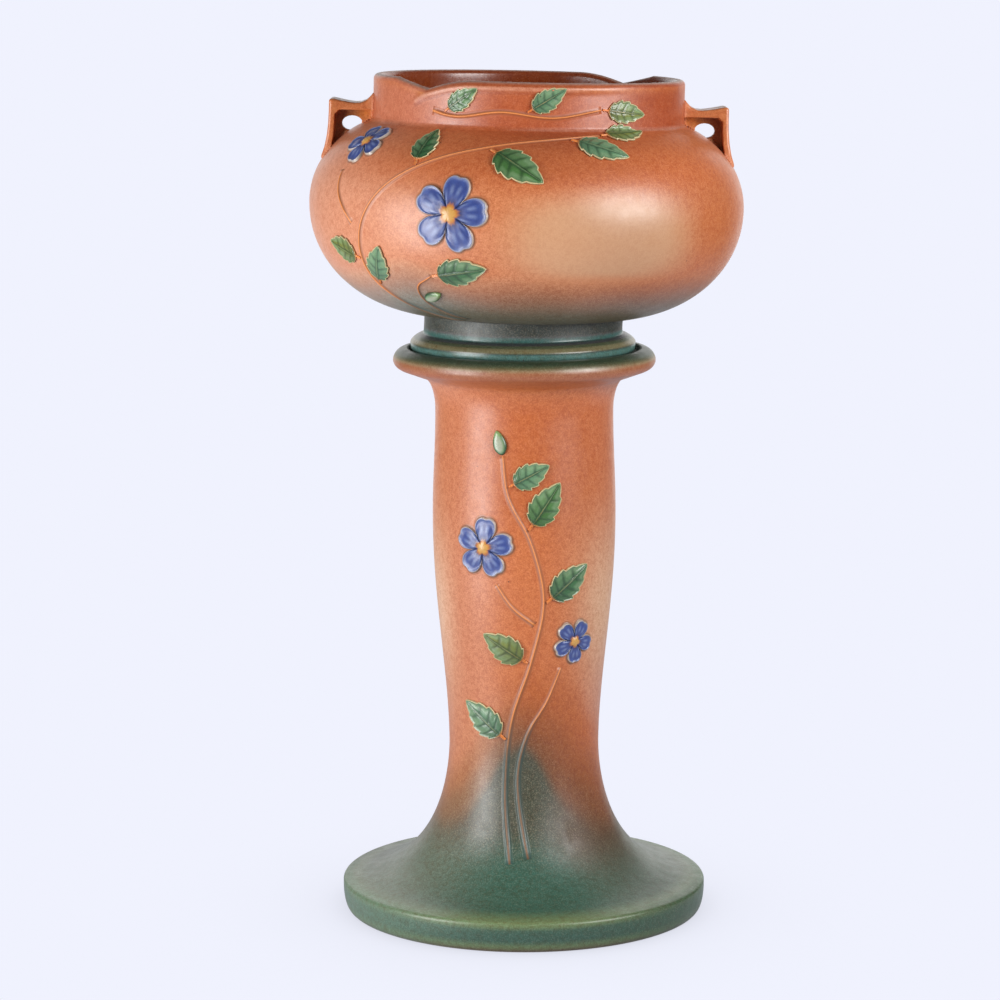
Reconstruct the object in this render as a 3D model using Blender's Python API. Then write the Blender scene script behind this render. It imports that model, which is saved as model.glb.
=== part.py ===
"""Two-piece glazed earthenware jardiniere: a round-bellied bowl with two lug handles on a turned pedestal.

Metres, +Z up, the origin at the centre of the pedestal's foot. The front faces -Y.
"""

import math

import bmesh
import bpy
from mathutils import Matrix, Vector

# Turning
SEGMENTS = 48
CLEARANCE = 0.0003  # between pieces that touch

# Pedestal foot and base plate
PEDESTAL_HEIGHT = 0.5015
FOOT_RING_RADIUS = 0.156
FOOT_RING_WIDTH = 0.012
BASE_RADIUS = 0.1614
BASE_HEIGHT = 0.0269
BASE_CORNER_ROUND = 0.0035
PEDESTAL_WALL = 0.009

# Pedestal shaft, from the base plate up
FLARE_RISE = 0.123
FLARE_SINK = 0.0011  # the flare's curve starts this far below the plate's top, outside its edge
FLARE_CURVE_RADIUS = 0.1847
FLARE_EDGE_POWER = 0.431
FLARE_WAIST_POWER = 1.726
SHAFT_NARROW_RADIUS = 0.0663
SWELL_SKEW = 0.9  # of the rise from the narrowest to the widest ring, which is what the rest leaves
SHAFT_WIDE_RADIUS = 0.0806
TAPER_RISE = 0.092
SHAFT_TOP_RADIUS = 0.0781
FILLET_RISE = 0.029
FILLET_REACH = 0.0115

# Collar and seat, sized from the bowl's foot
SEAT_PLAY = 0.0024
SEAT_DEPTH = 0.0049
SEAT_FLOOR_THICKNESS = 0.010
COLLAR_WIDTH = 0.0140
COLLAR_RISE = 0.044  # widest ring above the shaft's top
COLLAR_LIP_REACH = 0.0105
COLLAR_LIP_RISE = 0.0085
COLLAR_LIP_START_DEG = -65.0
COLLAR_CREST_REACH = 0.0116
COLLAR_CREST_RISE = 0.0105
COLLAR_INNER_ROUND = 0.0012

# Bowl foot and waist
BOWL_LEAN_DEG = 1.3  # the bowl leans towards +X over its level foot
BOWL_SHIFT = 0.0012  # and stands off the middle of its seat, towards -X
FOOT_BEAD_RADIUS = 0.0985
FOOT_BEAD_REACH = 0.0040
FOOT_BEAD_RISE = 0.0108
FOOT_BEAD_START_DEG = -68.0
FOOT_SHOULDER_RISE = 0.0077
FOOT_SHOULDER_POWER = 1.45  # flatter than an ellipse
FOOT_WIDTH = 0.012
FOOT_RECESS = 0.005
WAIST_RADIUS = 0.0870
WAIST_RISE = 0.0165

# Bowl belly, shoulder and neck
BELLY_RADIUS = 0.1885
BELLY_REACH = 0.1089
BELLY_RISE = 0.0955
BELLY_POWER = 2.05  # of the curve under the widest ring, a little fuller than an ellipse
SHOULDER_REACH = 0.0873
SHOULDER_RISE = 0.077
NECK_RADIUS = 0.1345
NECK_HEIGHT = 0.0393
NECK_FILLET = 0.0015
BOWL_WALL = 0.009
BOWL_FLOOR_THICKNESS = 0.011
FLOOR_CORNER = 0.008

# Rim: two lobes that meet in two notches, each rising in a round and falling in a slant
NOTCH_AZIMUTH_DEG = -40.5
NOTCH_DEPTH = 0.0081
NOTCH_ROUND_DEG = 20.0
NOTCH_SLANT_DEG = 18.0

# Handles, drawn in the plane through the axis
HANDLE_REACH = 0.0378  # outer face beyond the neck
HANDLE_HEIGHT = 0.0176  # outer corner above the foot of the neck
HANDLE_DIP = 0.0037  # hollow of the top edge
HANDLE_DIP_SKEW = 0.65
HANDLE_ROOT_RISE = 0.0043  # the top edge curves up to meet the neck
HANDLE_ROOT_SHARE = 0.4
HANDLE_TAIL_DROP = 0.034  # where the outer face runs into the shoulder, below the foot of the neck
HANDLE_TAIL_FLARE = 0.0066
HANDLE_FLARE_POWER = 3
HANDLE_DEPTH = 0.034
HANDLE_EDGE_ROUND = 0.002
HANDLE_BEVEL_FROM_DEG = 50.0
HANDLE_WEB = 0.010
HANDLE_TOP_BAND = 0.0098
HANDLE_OUTER_BAND = 0.0052
HANDLE_POCKET_ROUND = 0.004
HANDLE_HOLE_REACH = 0.0178  # centre of the hole beyond the neck
HANDLE_HOLE_DROP = 0.0042
HANDLE_HOLE_WIDTH = 0.0180
HANDLE_HOLE_HEIGHT = 0.0132

# Relief laid on the surfaces
RELIEF_GAP = 0.0009  # between neighbouring relief pieces
RELIEF_LIFT = 0.00045  # undersides above the turned surface
RELIEF_EDGE = 0.0006
STEM_WIDTH = 0.0032
STEM_THICKNESS = 0.0016
STEM_TAPER = 0.45
LEAF_THICKNESS = 0.0024
BUD_THICKNESS = 0.0034
RIB_AT = 0.5  # crests of a strip, as a share of its half width
MIDRIB_SHARE = 0.75  # height left along its middle
BLOSSOM_THICKNESS = 0.0034
BLOSSOM_EDGE = 0.0009
PETALS = 5
PETAL_OUTLINE = (1.0, 0.97, 0.82, 0.42, 0.82, 0.97)  # from a petal's tip round to the next
HEART_RADIUS_SHARE = 0.27
HEART_EDGE_SHARE = 0.8
BACK_RADIUS_SHARE = 0.36
# Place along a blade and its width there
LEAF_STATIONS = (
    (0.0, 0.10),
    (0.12, 0.12),
    (0.30, 0.86),
    (0.48, 1.0),
    (0.68, 0.80),
    (0.86, 0.42),
    (1.0, 0.05),
)
BUD_STATIONS = ((0.0, 0.35), (0.25, 0.9), (0.5, 1.0), (0.75, 0.7), (1.0, 0.1))

# Relief layout: azimuths in degrees from the front. Heights run along the side, from 0 at its widest or
# narrowest ring to 1 at its top and -1 at its foot, and lengths and widths are shares of its upper length.
# Stems: steps a span, then the points they run through
BOWL_STEMS = (
    (
        5,
        (
            (-26, -0.831),
            (-40, -0.641),
            (-49, -0.379),
            (-48, -0.092),
            (-40, 0.179),
            (-26, 0.389),
            (-8, 0.523),
            (10, 0.598),
            (24, 0.643),
        ),
    ),
    (3, ((-23, -0.785), (-32, -0.589), (-33, -0.432), (-27, -0.340))),
    (3, ((-51.5, -0.065), (-58, 0.105), (-60, 0.254))),
    (4, ((-37, 0.807), (-26, 0.778), (-10, 0.815), (8, 0.785), (26, 0.837))),
)
PEDESTAL_STEMS = (
    (
        4,
        (
            (-8, -0.560),
            (-14, -0.177),
            (-10, 0.100),
            (4, 0.284),
            (12, 0.468),
            (4, 0.642),
            (-10, 0.776),
            (-14, 0.897),
        ),
    ),
    (3, ((2, -0.530), (-5, -0.130), (2, 0.067), (16, 0.167), (26, 0.268))),
    (3, ((6.5, 0.402), (-8, 0.455), (-18, 0.522))),
)
# Leaves and buds: stem, share of the way along it, side, heading, length, width
# (side -1 is left, 1 is right and 0 is beyond the stem's end)
BOWL_LEAVES = (
    (0, 0.22, 1, 22, 0.314, 0.180),
    (0, 0.31, -1, -72, 0.314, 0.187),
    (0, 0.58, -1, 2, 0.329, 0.194),
    (0, 0.72, 1, 128, 0.404, 0.224),
    (0, 0.90, 1, 118, 0.359, 0.202),
    (0, 1.0, 0, 84, 0.344, 0.180),
    (1, 1.0, 0, 78, 0.374, 0.209),
    (3, 0.14, -1, 56, 0.269, 0.142),
    (3, 0.60, -1, 58, 0.284, 0.150),
    (3, 1.0, 0, 96, 0.329, 0.157),
)
BOWL_BUDS = ((1, 0.42, 1, 60, 0.150, 0.082),)
PEDESTAL_LEAVES = (
    (0, 0.24, -1, -50, 0.167, 0.097),
    (0, 0.43, -1, -56, 0.154, 0.090),
    (0, 0.58, 1, 50, 0.167, 0.097),
    (0, 0.74, 1, 34, 0.167, 0.094),
    (0, 0.90, 1, 62, 0.134, 0.080),
)
PEDESTAL_BUDS = ((0, 1.0, 0, -14, 0.074, 0.040),)
# Blossoms: azimuth, height, size, turn
BOWL_BLOSSOMS = ((-20, 0.030, 0.493, 12), (-57, 0.478, 0.344, 40))
PEDESTAL_BLOSSOMS = ((-26, 0.629, 0.181, 6), (35, 0.345, 0.134, 30))

# Glaze colours, roughness
GLAZES = {
    "terracotta": ((0.55, 0.19, 0.09), 0.42),
    "pedestal_glaze": ((0.50, 0.20, 0.10), 0.45),
    "leaf_green": ((0.09, 0.22, 0.09), 0.35),
    "blossom_blue": ((0.12, 0.17, 0.50), 0.35),
    "bud_green": ((0.05, 0.13, 0.06), 0.35),
    "stem_orange": ((0.60, 0.22, 0.08), 0.40),
}

ROUND_SHADE_DEG = 32.0


def clear_scene():
    for old in list(bpy.data.objects):
        bpy.data.objects.remove(old)


def glaze(name):
    colour, roughness = GLAZES[name]
    material = bpy.data.materials.get(name) or bpy.data.materials.new(name)
    material.use_nodes = True
    shader = material.node_tree.nodes["Principled BSDF"]
    shader.inputs["Base Color"].default_value = (*colour, 1.0)
    shader.inputs["Roughness"].default_value = roughness
    shader.inputs["Metallic"].default_value = 0.0
    material.diffuse_color = (*colour, 1.0)
    return material


def add_object(name, mesh, parent=None, material=None):
    thing = bpy.data.objects.new(name, mesh)
    bpy.context.scene.collection.objects.link(thing)
    thing.parent = parent
    if material and not mesh.materials:
        mesh.materials.append(glaze(material))
    return thing


def add_empty(name, location):
    empty = bpy.data.objects.new(name, None)
    empty.location = location
    bpy.context.scene.collection.objects.link(empty)
    return empty


def finish_mesh(name, bm):
    bmesh.ops.recalc_face_normals(bm, faces=bm.faces)
    mesh = bpy.data.meshes.new(name)
    bm.to_mesh(mesh)
    bm.free()
    mesh.shade_smooth()
    mesh.set_sharp_from_angle(angle=math.radians(ROUND_SHADE_DEG))
    return mesh


# Outlines


def powered(value, power):
    """Cosine or sine of an angle on an ellipse, changed to suit a superellipse of the given power."""
    return math.copysign(abs(value) ** (2 / power), value)


def arc(centre, reach, rise, start_deg, end_deg, steps, power=2.0):
    """Points on an ellipse or superellipse in the (radius, height) plane, both ends included."""
    points = []
    for i in range(steps + 1):
        a = math.radians(start_deg + (end_deg - start_deg) * i / steps)
        across, up = powered(math.cos(a), power), powered(math.sin(a), power)
        points.append((centre[0] + reach * across, centre[1] + rise * up))
    return points


def arc_start_deg(share, power=2.0):
    """Angle below level at which an arc has the given share of its reach."""
    return -math.degrees(math.acos(math.copysign(abs(share) ** (power / 2), share)))


def eased(start, end, share):
    return start + (end - start) * (1 - math.cos(math.pi * share)) / 2


def smooth_curve(points, steps):
    """Catmull-Rom curve through 2D points, with the given steps a span."""
    first = tuple(2 * a - b for a, b in zip(points[0], points[1]))
    last = tuple(2 * a - b for a, b in zip(points[-1], points[-2]))
    padded = [first, *points, last]
    curve = []
    for k in range(1, len(padded) - 2):
        p0, p1, p2, p3 = padded[k - 1 : k + 3]
        for i in range(steps):
            t = i / steps
            curve.append(
                tuple(
                    0.5
                    * (
                        2 * b
                        + (c - a) * t
                        + (2 * a - 5 * b + 4 * c - d) * t**2
                        + (3 * b - a - 3 * c + d) * t**3
                    )
                    for a, b, c, d in zip(p0, p1, p2, p3)
                )
            )
    curve.append(tuple(points[-1]))
    return curve


def spin_outline(bm, outline, phase=0.0):
    """Turns an outline about Z. Points on the axis become poles."""
    verts = [
        bm.verts.new((r * math.cos(phase), r * math.sin(phase), z)) for r, z in outline
    ]
    edges = [bm.edges.new(pair) for pair in zip(verts, verts[1:])]
    bmesh.ops.spin(
        bm,
        geom=verts + edges,
        cent=(0, 0, 0),
        axis=(0, 0, 1),
        angle=math.tau,
        steps=SEGMENTS,
        use_merge=True,
    )
    bmesh.ops.remove_doubles(bm, verts=bm.verts, dist=1e-6)


# Pedestal

SEAT_RADIUS = FOOT_BEAD_RADIUS + SEAT_PLAY
COLLAR_RADIUS = SEAT_RADIUS + COLLAR_WIDTH
FLARE_Z = BASE_HEIGHT - FLARE_SINK
NARROW_Z = FLARE_Z + FLARE_RISE
COLLAR_Z = PEDESTAL_HEIGHT - COLLAR_CREST_RISE
SHAFT_TOP_Z = COLLAR_Z - COLLAR_RISE
WIDE_Z = SHAFT_TOP_Z - TAPER_RISE
SWELL_RISE = WIDE_Z - NARROW_Z
SEAT_Z = PEDESTAL_HEIGHT - SEAT_DEPTH
BASE_TOP_RADIUS = BASE_RADIUS - BASE_CORNER_ROUND
FLARE_SPREAD = FLARE_CURVE_RADIUS - SHAFT_NARROW_RADIUS
FLARE_START = (
    1 - ((BASE_TOP_RADIUS - SHAFT_NARROW_RADIUS) / FLARE_SPREAD) ** (1 / FLARE_WAIST_POWER)
) ** (1 / FLARE_EDGE_POWER)


def flare_radius(share):
    """Radius of the flare, from its curve's outer end (0) to the narrowest ring (1)."""
    spread = (1 - share**FLARE_EDGE_POWER) ** FLARE_WAIST_POWER
    return SHAFT_NARROW_RADIUS + FLARE_SPREAD * spread


def shaft_outline(inset, flare_steps, swell_steps, taper_steps):
    """The shaft's side from the base plate to the fillet under the collar, moved in by the wall."""
    points = []
    for i in range(flare_steps + 1):
        share = FLARE_START + (1 - FLARE_START) * (i / flare_steps) ** 2
        points.append((flare_radius(share), FLARE_Z + FLARE_RISE * share))
    for i in range(1, swell_steps + 1):
        share = i / swell_steps
        radius = eased(SHAFT_NARROW_RADIUS, SHAFT_WIDE_RADIUS, share**SWELL_SKEW)
        points.append((radius, NARROW_Z + SWELL_RISE * share))
    for i in range(1, taper_steps + 1):
        share = i / taper_steps
        radius = eased(SHAFT_WIDE_RADIUS, SHAFT_TOP_RADIUS, share)
        points.append((radius, WIDE_Z + TAPER_RISE * share))
    return moved_in(points, inset)


def moved_in(points, inset):
    """An outline moved towards its left-hand side by a wall thickness."""
    if not inset:
        return points
    moved = []
    for i, (r, z) in enumerate(points):
        before = points[max(i - 1, 0)]
        after = points[min(i + 1, len(points) - 1)]
        run, rise = after[0] - before[0], after[1] - before[1]
        length = math.hypot(run, rise)
        moved.append((r - inset * rise / length, z + inset * run / length))
    return moved


def pedestal_outer():
    foot_rise = BASE_HEIGHT - 2 * BASE_CORNER_ROUND
    foot_corner = arc(
        (FOOT_RING_RADIUS, foot_rise), BASE_RADIUS - FOOT_RING_RADIUS, foot_rise, -90, 0, 4
    )
    corner = arc(
        (BASE_TOP_RADIUS, BASE_HEIGHT - BASE_CORNER_ROUND), BASE_CORNER_ROUND, BASE_CORNER_ROUND, 0, 70, 2
    )
    fillet = arc(
        (SHAFT_TOP_RADIUS + FILLET_REACH, SHAFT_TOP_Z), FILLET_REACH, FILLET_RISE, 180, 100, 5
    )
    lip = arc(
        (COLLAR_RADIUS - COLLAR_LIP_REACH, COLLAR_Z),
        COLLAR_LIP_REACH,
        COLLAR_LIP_RISE,
        COLLAR_LIP_START_DEG,
        0,
        4,
    )
    crest = arc(
        (COLLAR_RADIUS - COLLAR_CREST_REACH, COLLAR_Z), COLLAR_CREST_REACH, COLLAR_CREST_RISE, 0, 90, 5
    )
    return (
        foot_corner
        + corner
        + shaft_outline(0, 12, 7, 3)
        + fillet[1:]
        + lip
        + crest[1:]
        + [(SEAT_RADIUS, PEDESTAL_HEIGHT - COLLAR_INNER_ROUND), (SEAT_RADIUS, SEAT_Z)]
    )


def pedestal_inner():
    """The hollow's side, from the ring it stands on up to the underside of the seat."""
    ring_inner = FOOT_RING_RADIUS - FOOT_RING_WIDTH
    side = [p for p in shaft_outline(PEDESTAL_WALL, 6, 4, 2) if p[0] < ring_inner]
    under_seat = SEAT_Z - SEAT_FLOOR_THICKNESS
    return (
        [(ring_inner, 0.0), (ring_inner, side[0][1] - BASE_CORNER_ROUND)]
        + side
        + [(SHAFT_TOP_RADIUS - PEDESTAL_WALL, under_seat), (0.0, under_seat)]
    )


def make_pedestal():
    outline = pedestal_inner()[::-1] + pedestal_outer() + [(0.0, SEAT_Z)]
    bm = bmesh.new()
    spin_outline(bm, outline)
    return add_object("pedestal", finish_mesh("pedestal", bm), None, "pedestal_glaze")


# Bowl, drawn with its foot's underside at height 0

FOOT_BEAD_Z = -FOOT_BEAD_RISE * math.sin(math.radians(FOOT_BEAD_START_DEG))
FOOT_BEAD_CENTRE = FOOT_BEAD_RADIUS - FOOT_BEAD_REACH
FOOT_RADIUS = FOOT_BEAD_CENTRE + FOOT_BEAD_REACH * math.cos(math.radians(FOOT_BEAD_START_DEG))
WAIST_FOOT_Z = FOOT_BEAD_Z + FOOT_SHOULDER_RISE
WAIST_TOP_Z = WAIST_FOOT_Z + WAIST_RISE
BELLY_CENTRE = BELLY_RADIUS - BELLY_REACH
BELLY_FOOT_DEG = arc_start_deg((WAIST_RADIUS + CLEARANCE - BELLY_CENTRE) / BELLY_REACH, BELLY_POWER)
BELLY_Z = WAIST_TOP_Z - BELLY_RISE * powered(math.sin(math.radians(BELLY_FOOT_DEG)), BELLY_POWER)
SHOULDER_CENTRE = BELLY_RADIUS - SHOULDER_REACH
SHOULDER_END_DEG = math.degrees(math.acos((NECK_RADIUS - SHOULDER_CENTRE) / SHOULDER_REACH))
NECK_FOOT_Z = BELLY_Z + SHOULDER_RISE * math.sin(math.radians(SHOULDER_END_DEG))
RIM_Z = NECK_FOOT_Z + NECK_HEIGHT
BOWL_FLOOR_Z = FOOT_RECESS + BOWL_FLOOR_THICKNESS
RIM_ROUND = BOWL_WALL / 2
COLUMN_PHASE = math.radians(NOTCH_AZIMUTH_DEG - 90)


def bowl_foot():
    """The foot's side, its round shoulder and the waist's lower end."""
    side = arc(
        (FOOT_BEAD_CENTRE, FOOT_BEAD_Z), FOOT_BEAD_REACH, FOOT_BEAD_RISE, FOOT_BEAD_START_DEG, 0, 4
    )
    reach = FOOT_BEAD_RADIUS - WAIST_RADIUS
    shoulder = arc(
        (WAIST_RADIUS, FOOT_BEAD_Z), reach, FOOT_SHOULDER_RISE, 0, 90, 6, FOOT_SHOULDER_POWER
    )
    return side + shoulder[1:]


def bowl_side(shoulder_steps=6, belly_steps=10):
    """The belly, the shoulder and the lower half of the neck."""
    belly = arc(
        (BELLY_CENTRE, BELLY_Z), BELLY_REACH, BELLY_RISE, BELLY_FOOT_DEG, 0, belly_steps, BELLY_POWER
    )
    shoulder = arc(
        (SHOULDER_CENTRE, BELLY_Z), SHOULDER_REACH, SHOULDER_RISE, 0, SHOULDER_END_DEG, shoulder_steps
    )
    neck = [
        (NECK_RADIUS, NECK_FOOT_Z + NECK_FILLET),
        (NECK_RADIUS, NECK_FOOT_Z + NECK_HEIGHT / 2),
    ]
    return belly + shoulder[1:-1] + [(NECK_RADIUS + NECK_FILLET, NECK_FOOT_Z)] + neck


def bowl_inner():
    """The inside, from the lip down to the flat floor."""
    reach, rise = BELLY_REACH - BOWL_WALL, BELLY_RISE - BOWL_WALL
    belly_foot_r = WAIST_RADIUS - BOWL_WALL
    foot_deg = arc_start_deg((belly_foot_r + BOWL_WALL / 4 - BELLY_CENTRE) / reach, BELLY_POWER)
    neck_r = NECK_RADIUS - BOWL_WALL
    top_reach, top_rise = SHOULDER_REACH - BOWL_WALL, SHOULDER_RISE - BOWL_WALL
    top_deg = math.degrees(math.acos((neck_r - SHOULDER_CENTRE) / top_reach))
    shoulder = arc((SHOULDER_CENTRE, BELLY_Z), top_reach, top_rise, top_deg, 0, 4)
    belly = arc((BELLY_CENTRE, BELLY_Z), reach, rise, 0, foot_deg, 6, BELLY_POWER)
    return (
        [(neck_r, NECK_FOOT_Z + NECK_HEIGHT / 2)]
        + shoulder
        + belly[1:]
        + [
            (belly_foot_r, BOWL_FLOOR_Z + FLOOR_CORNER),
            (belly_foot_r - FLOOR_CORNER, BOWL_FLOOR_Z),
        ]
    )


def rim_height(azimuth):
    """Height of the rim above its plain level, by the angle past a notch."""
    past = math.degrees(azimuth - COLUMN_PHASE) % 180
    if past < NOTCH_ROUND_DEG:
        return -NOTCH_DEPTH * (1 - math.sin(math.pi / 2 * past / NOTCH_ROUND_DEG))
    return -NOTCH_DEPTH * max(0.0, 1 - (180 - past) / NOTCH_SLANT_DEG)


def level_foot(bm):
    """Turns the foot back from the bowl's lean, so that it stands flat in the seat."""
    for vert in bm.verts:
        share = min(1.0, max(0.0, (WAIST_TOP_Z - vert.co.z) / WAIST_RISE))
        vert.co = Matrix.Rotation(-math.radians(BOWL_LEAN_DEG) * share, 3, "Y") @ vert.co


def make_bowl(seat):
    lip = arc((NECK_RADIUS - RIM_ROUND, RIM_Z - RIM_ROUND), RIM_ROUND, RIM_ROUND, 0, 180, 4)
    recess_radius = FOOT_RADIUS - FOOT_WIDTH
    outline = (
        [(0.0, FOOT_RECESS), (recess_radius - FOOT_RECESS, FOOT_RECESS), (recess_radius, 0.0)]
        + bowl_foot()
        + bowl_side()
        + lip
        + bowl_inner()
        + [(0.0, BOWL_FLOOR_Z)]
    )
    bm = bmesh.new()
    spin_outline(bm, outline, COLUMN_PHASE)
    still = NECK_FOOT_Z + NECK_HEIGHT / 2
    for vert in bm.verts:
        if vert.co.z > still:
            share = min(1.0, (vert.co.z - still) / (RIM_Z - 2 * RIM_ROUND - still))
            vert.co.z += share * rim_height(math.atan2(vert.co.y, vert.co.x))
    level_foot(bm)
    return add_object("jardiniere_bowl", finish_mesh("jardiniere_bowl", bm), seat, "terracotta")


# Handles


HANDLE_ROOT = NECK_RADIUS - RIM_ROUND  # inside the neck, cut away afterwards
HANDLE_TOP_Z = NECK_FOOT_Z + HANDLE_HEIGHT
HANDLE_TAIL_Z = NECK_FOOT_Z - HANDLE_TAIL_DROP
HANDLE_OUTER = NECK_RADIUS + HANDLE_REACH


def flared_edge(inset, top, steps):
    """The lug's outer edge from the top down, bending outwards towards the shoulder."""
    points = []
    for i in range(steps + 1):
        share = i / steps
        radius = HANDLE_OUTER - inset + HANDLE_TAIL_FLARE * share**HANDLE_FLARE_POWER
        points.append((radius, top + (HANDLE_TAIL_Z - top) * share))
    return points


def handle_outline(dip_steps=7, edge_steps=5):
    """The lug's outline: a square ear with a hollow top edge and a tail that runs into the shoulder."""
    corner = HANDLE_OUTER - HANDLE_EDGE_ROUND
    top_edge = [(HANDLE_ROOT, HANDLE_TOP_Z + HANDLE_ROOT_RISE)]
    for i in range(dip_steps + 1):
        share = i / dip_steps
        dip = HANDLE_DIP * math.sin(math.pi * share**HANDLE_DIP_SKEW)
        rise = HANDLE_ROOT_RISE * max(0.0, 1 - share / HANDLE_ROOT_SHARE) ** 2
        top_edge.append((NECK_RADIUS + (corner - NECK_RADIUS) * share, HANDLE_TOP_Z + rise - dip))
    side = flared_edge(0, HANDLE_TOP_Z - HANDLE_EDGE_ROUND, edge_steps)
    return top_edge + side + [(HANDLE_ROOT, HANDLE_TAIL_Z)]


def pocket_outline(edge_steps=4):
    """The hollow in each face: a band is left along the top and the outer edge."""
    top = HANDLE_TOP_Z - HANDLE_TOP_BAND
    side = flared_edge(HANDLE_OUTER_BAND, top - HANDLE_POCKET_ROUND, edge_steps)
    corner = (side[0][0] - HANDLE_POCKET_ROUND, top)
    return [(HANDLE_ROOT, top), corner] + side + [(HANDLE_ROOT, HANDLE_TAIL_Z)]


def slab(name, outline, depth, middle=0.0):
    """A closed outline in the XZ plane, extruded along Y."""
    bm = bmesh.new()
    verts = [bm.verts.new((x, middle - depth / 2, z)) for x, z in outline]
    face = bm.faces.new(verts)
    grown = bmesh.ops.extrude_face_region(bm, geom=[face])
    new_verts = [item for item in grown["geom"] if isinstance(item, bmesh.types.BMVert)]
    bmesh.ops.translate(bm, verts=new_verts, vec=(0, depth, 0))
    return finish_mesh(name, bm)


def make_cutter(name, mesh, parent, turn):
    cutter = add_object(name, mesh, parent)
    cutter.rotation_euler = (0, 0, turn)
    cutter.hide_render = True
    cutter.display_type = "WIRE"
    return cutter


def bowl_envelope(seat):
    """The bowl's outer form with the clearance added, which the handles are cut to."""
    skin = moved_in(bowl_side(), -CLEARANCE)
    top = RIM_Z + BELLY_RADIUS - NECK_RADIUS
    outline = [(0.0, skin[0][1])] + skin + [(skin[-1][0], top), (0.0, top)]
    bm = bmesh.new()
    spin_outline(bm, outline, COLUMN_PHASE)
    return make_cutter("bowl_envelope", finish_mesh("bowl_envelope", bm), seat, 0.0)


def cut(thing, cutter):
    modifier = thing.modifiers.new(cutter.name, "BOOLEAN")
    modifier.operation = "DIFFERENCE"
    modifier.solver = "EXACT"
    modifier.object = cutter


def make_handle(name, seat, envelope, turn):
    handle = add_object(name, slab(name, handle_outline(), HANDLE_DEPTH), seat, "terracotta")
    handle.rotation_euler = (0, 0, turn)
    bevel = handle.modifiers.new("soft_edges", "BEVEL")
    bevel.width = HANDLE_EDGE_ROUND
    bevel.segments = 2
    bevel.limit_method = "ANGLE"
    bevel.angle_limit = math.radians(HANDLE_BEVEL_FROM_DEG)
    pocket_depth = HANDLE_DEPTH - HANDLE_WEB
    for side in (-1, 1):
        middle = side * (HANDLE_WEB / 2 + pocket_depth / 2)
        mesh = slab("pocket", pocket_outline(), pocket_depth, middle)
        cut(handle, make_cutter(f"{name}_pocket", mesh, seat, turn))
    centre = (NECK_RADIUS + HANDLE_HOLE_REACH, NECK_FOOT_Z - HANDLE_HOLE_DROP)
    hole = arc(centre, HANDLE_HOLE_WIDTH / 2, HANDLE_HOLE_HEIGHT / 2, 0, 360, 16)[:-1]
    mesh = slab("hole", hole, HANDLE_DEPTH + 2 * HANDLE_EDGE_ROUND)
    cut(handle, make_cutter(f"{name}_hole", mesh, seat, turn))
    cut(handle, envelope)
    return handle


# Relief


class Skin:
    """A turned outer side, addressed by azimuth from the front and distance up its outline."""

    def __init__(self, outline, zero_height):
        self.outline = outline
        self.lengths = [0.0]
        for a, b in zip(outline, outline[1:]):
            self.lengths.append(self.lengths[-1] + math.dist(a, b))
        heights = [z for _, z in outline]
        nearest = min(range(len(heights)), key=lambda i: abs(heights[i] - zero_height))
        self.zero = self.lengths[nearest]
        self.upper = self.lengths[-1] - self.zero

    def place(self, azimuth_deg, height):
        """The place at an azimuth and a share of the way to the top (above 0) or the foot (below 0)."""
        return math.radians(azimuth_deg), height * (self.upper if height > 0 else self.zero)

    def span(self, up):
        length = min(max(up + self.zero, 0.0), self.lengths[-1] - 1e-9)
        k = 0
        while self.lengths[k + 1] < length:
            k += 1
        share = (length - self.lengths[k]) / (self.lengths[k + 1] - self.lengths[k])
        return k, share

    def radius(self, up):
        k, share = self.span(up)
        a, b = self.outline[k], self.outline[k + 1]
        return a[0] + (b[0] - a[0]) * share

    def point(self, azimuth, up, out):
        k, share = self.span(up)
        a, b = self.outline[k], self.outline[k + 1]
        length = math.dist(a, b)
        r = a[0] + (b[0] - a[0]) * share + out * (b[1] - a[1]) / length
        z = a[1] + (b[1] - a[1]) * share - out * (b[0] - a[0]) / length
        return Vector((r * math.sin(azimuth), -r * math.cos(azimuth), z))

    def offset(self, place, right, above):
        """A place moved by metres across and up the surface."""
        return place[0] + right / self.radius(place[1]), place[1] + above


def section_mesh(name, skin, sections):
    """A closed strip lofted through sections, each a list of ((azimuth, up), out)."""
    bm = bmesh.new()
    rings = []
    for section in sections:
        rings.append([bm.verts.new(skin.point(place[0], place[1], out)) for place, out in section])
    count = len(rings[0])
    for low, high in zip(rings, rings[1:]):
        for i in range(count):
            j = (i + 1) % count
            bm.faces.new((low[i], low[j], high[j], high[i]))
    for ring in (rings[0], rings[-1]):
        bm.faces.new(ring)
    bmesh.ops.triangulate(bm, faces=bm.faces)
    return finish_mesh(name, bm)


def direction(skin, before, after):
    """Unit step across and up the surface from one place to the next."""
    across = (after[0] - before[0]) * skin.radius((before[1] + after[1]) / 2)
    up = after[1] - before[1]
    length = math.hypot(across, up)
    return across / length, up / length


def strip(skin, path, widths, crests):
    """Sections of a low, ridged strip along a path: its edges, its crest and its flat underside."""
    sections = []
    edge = RELIEF_LIFT + RELIEF_EDGE
    for i, place in enumerate(path):
        along = direction(skin, path[max(i - 1, 0)], path[min(i + 1, len(path) - 1)])
        half, crest = widths[i] / 2, crests[i]
        section = []
        for side, out in (
            (-1, edge),
            (-RIB_AT, edge + crest),
            (0, edge + crest * MIDRIB_SHARE),
            (RIB_AT, edge + crest),
            (1, edge),
            (0, RELIEF_LIFT),
        ):
            moved = skin.offset(place, -along[1] * side * half, along[0] * side * half)
            section.append((moved, out))
        sections.append(section)
    return sections


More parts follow.
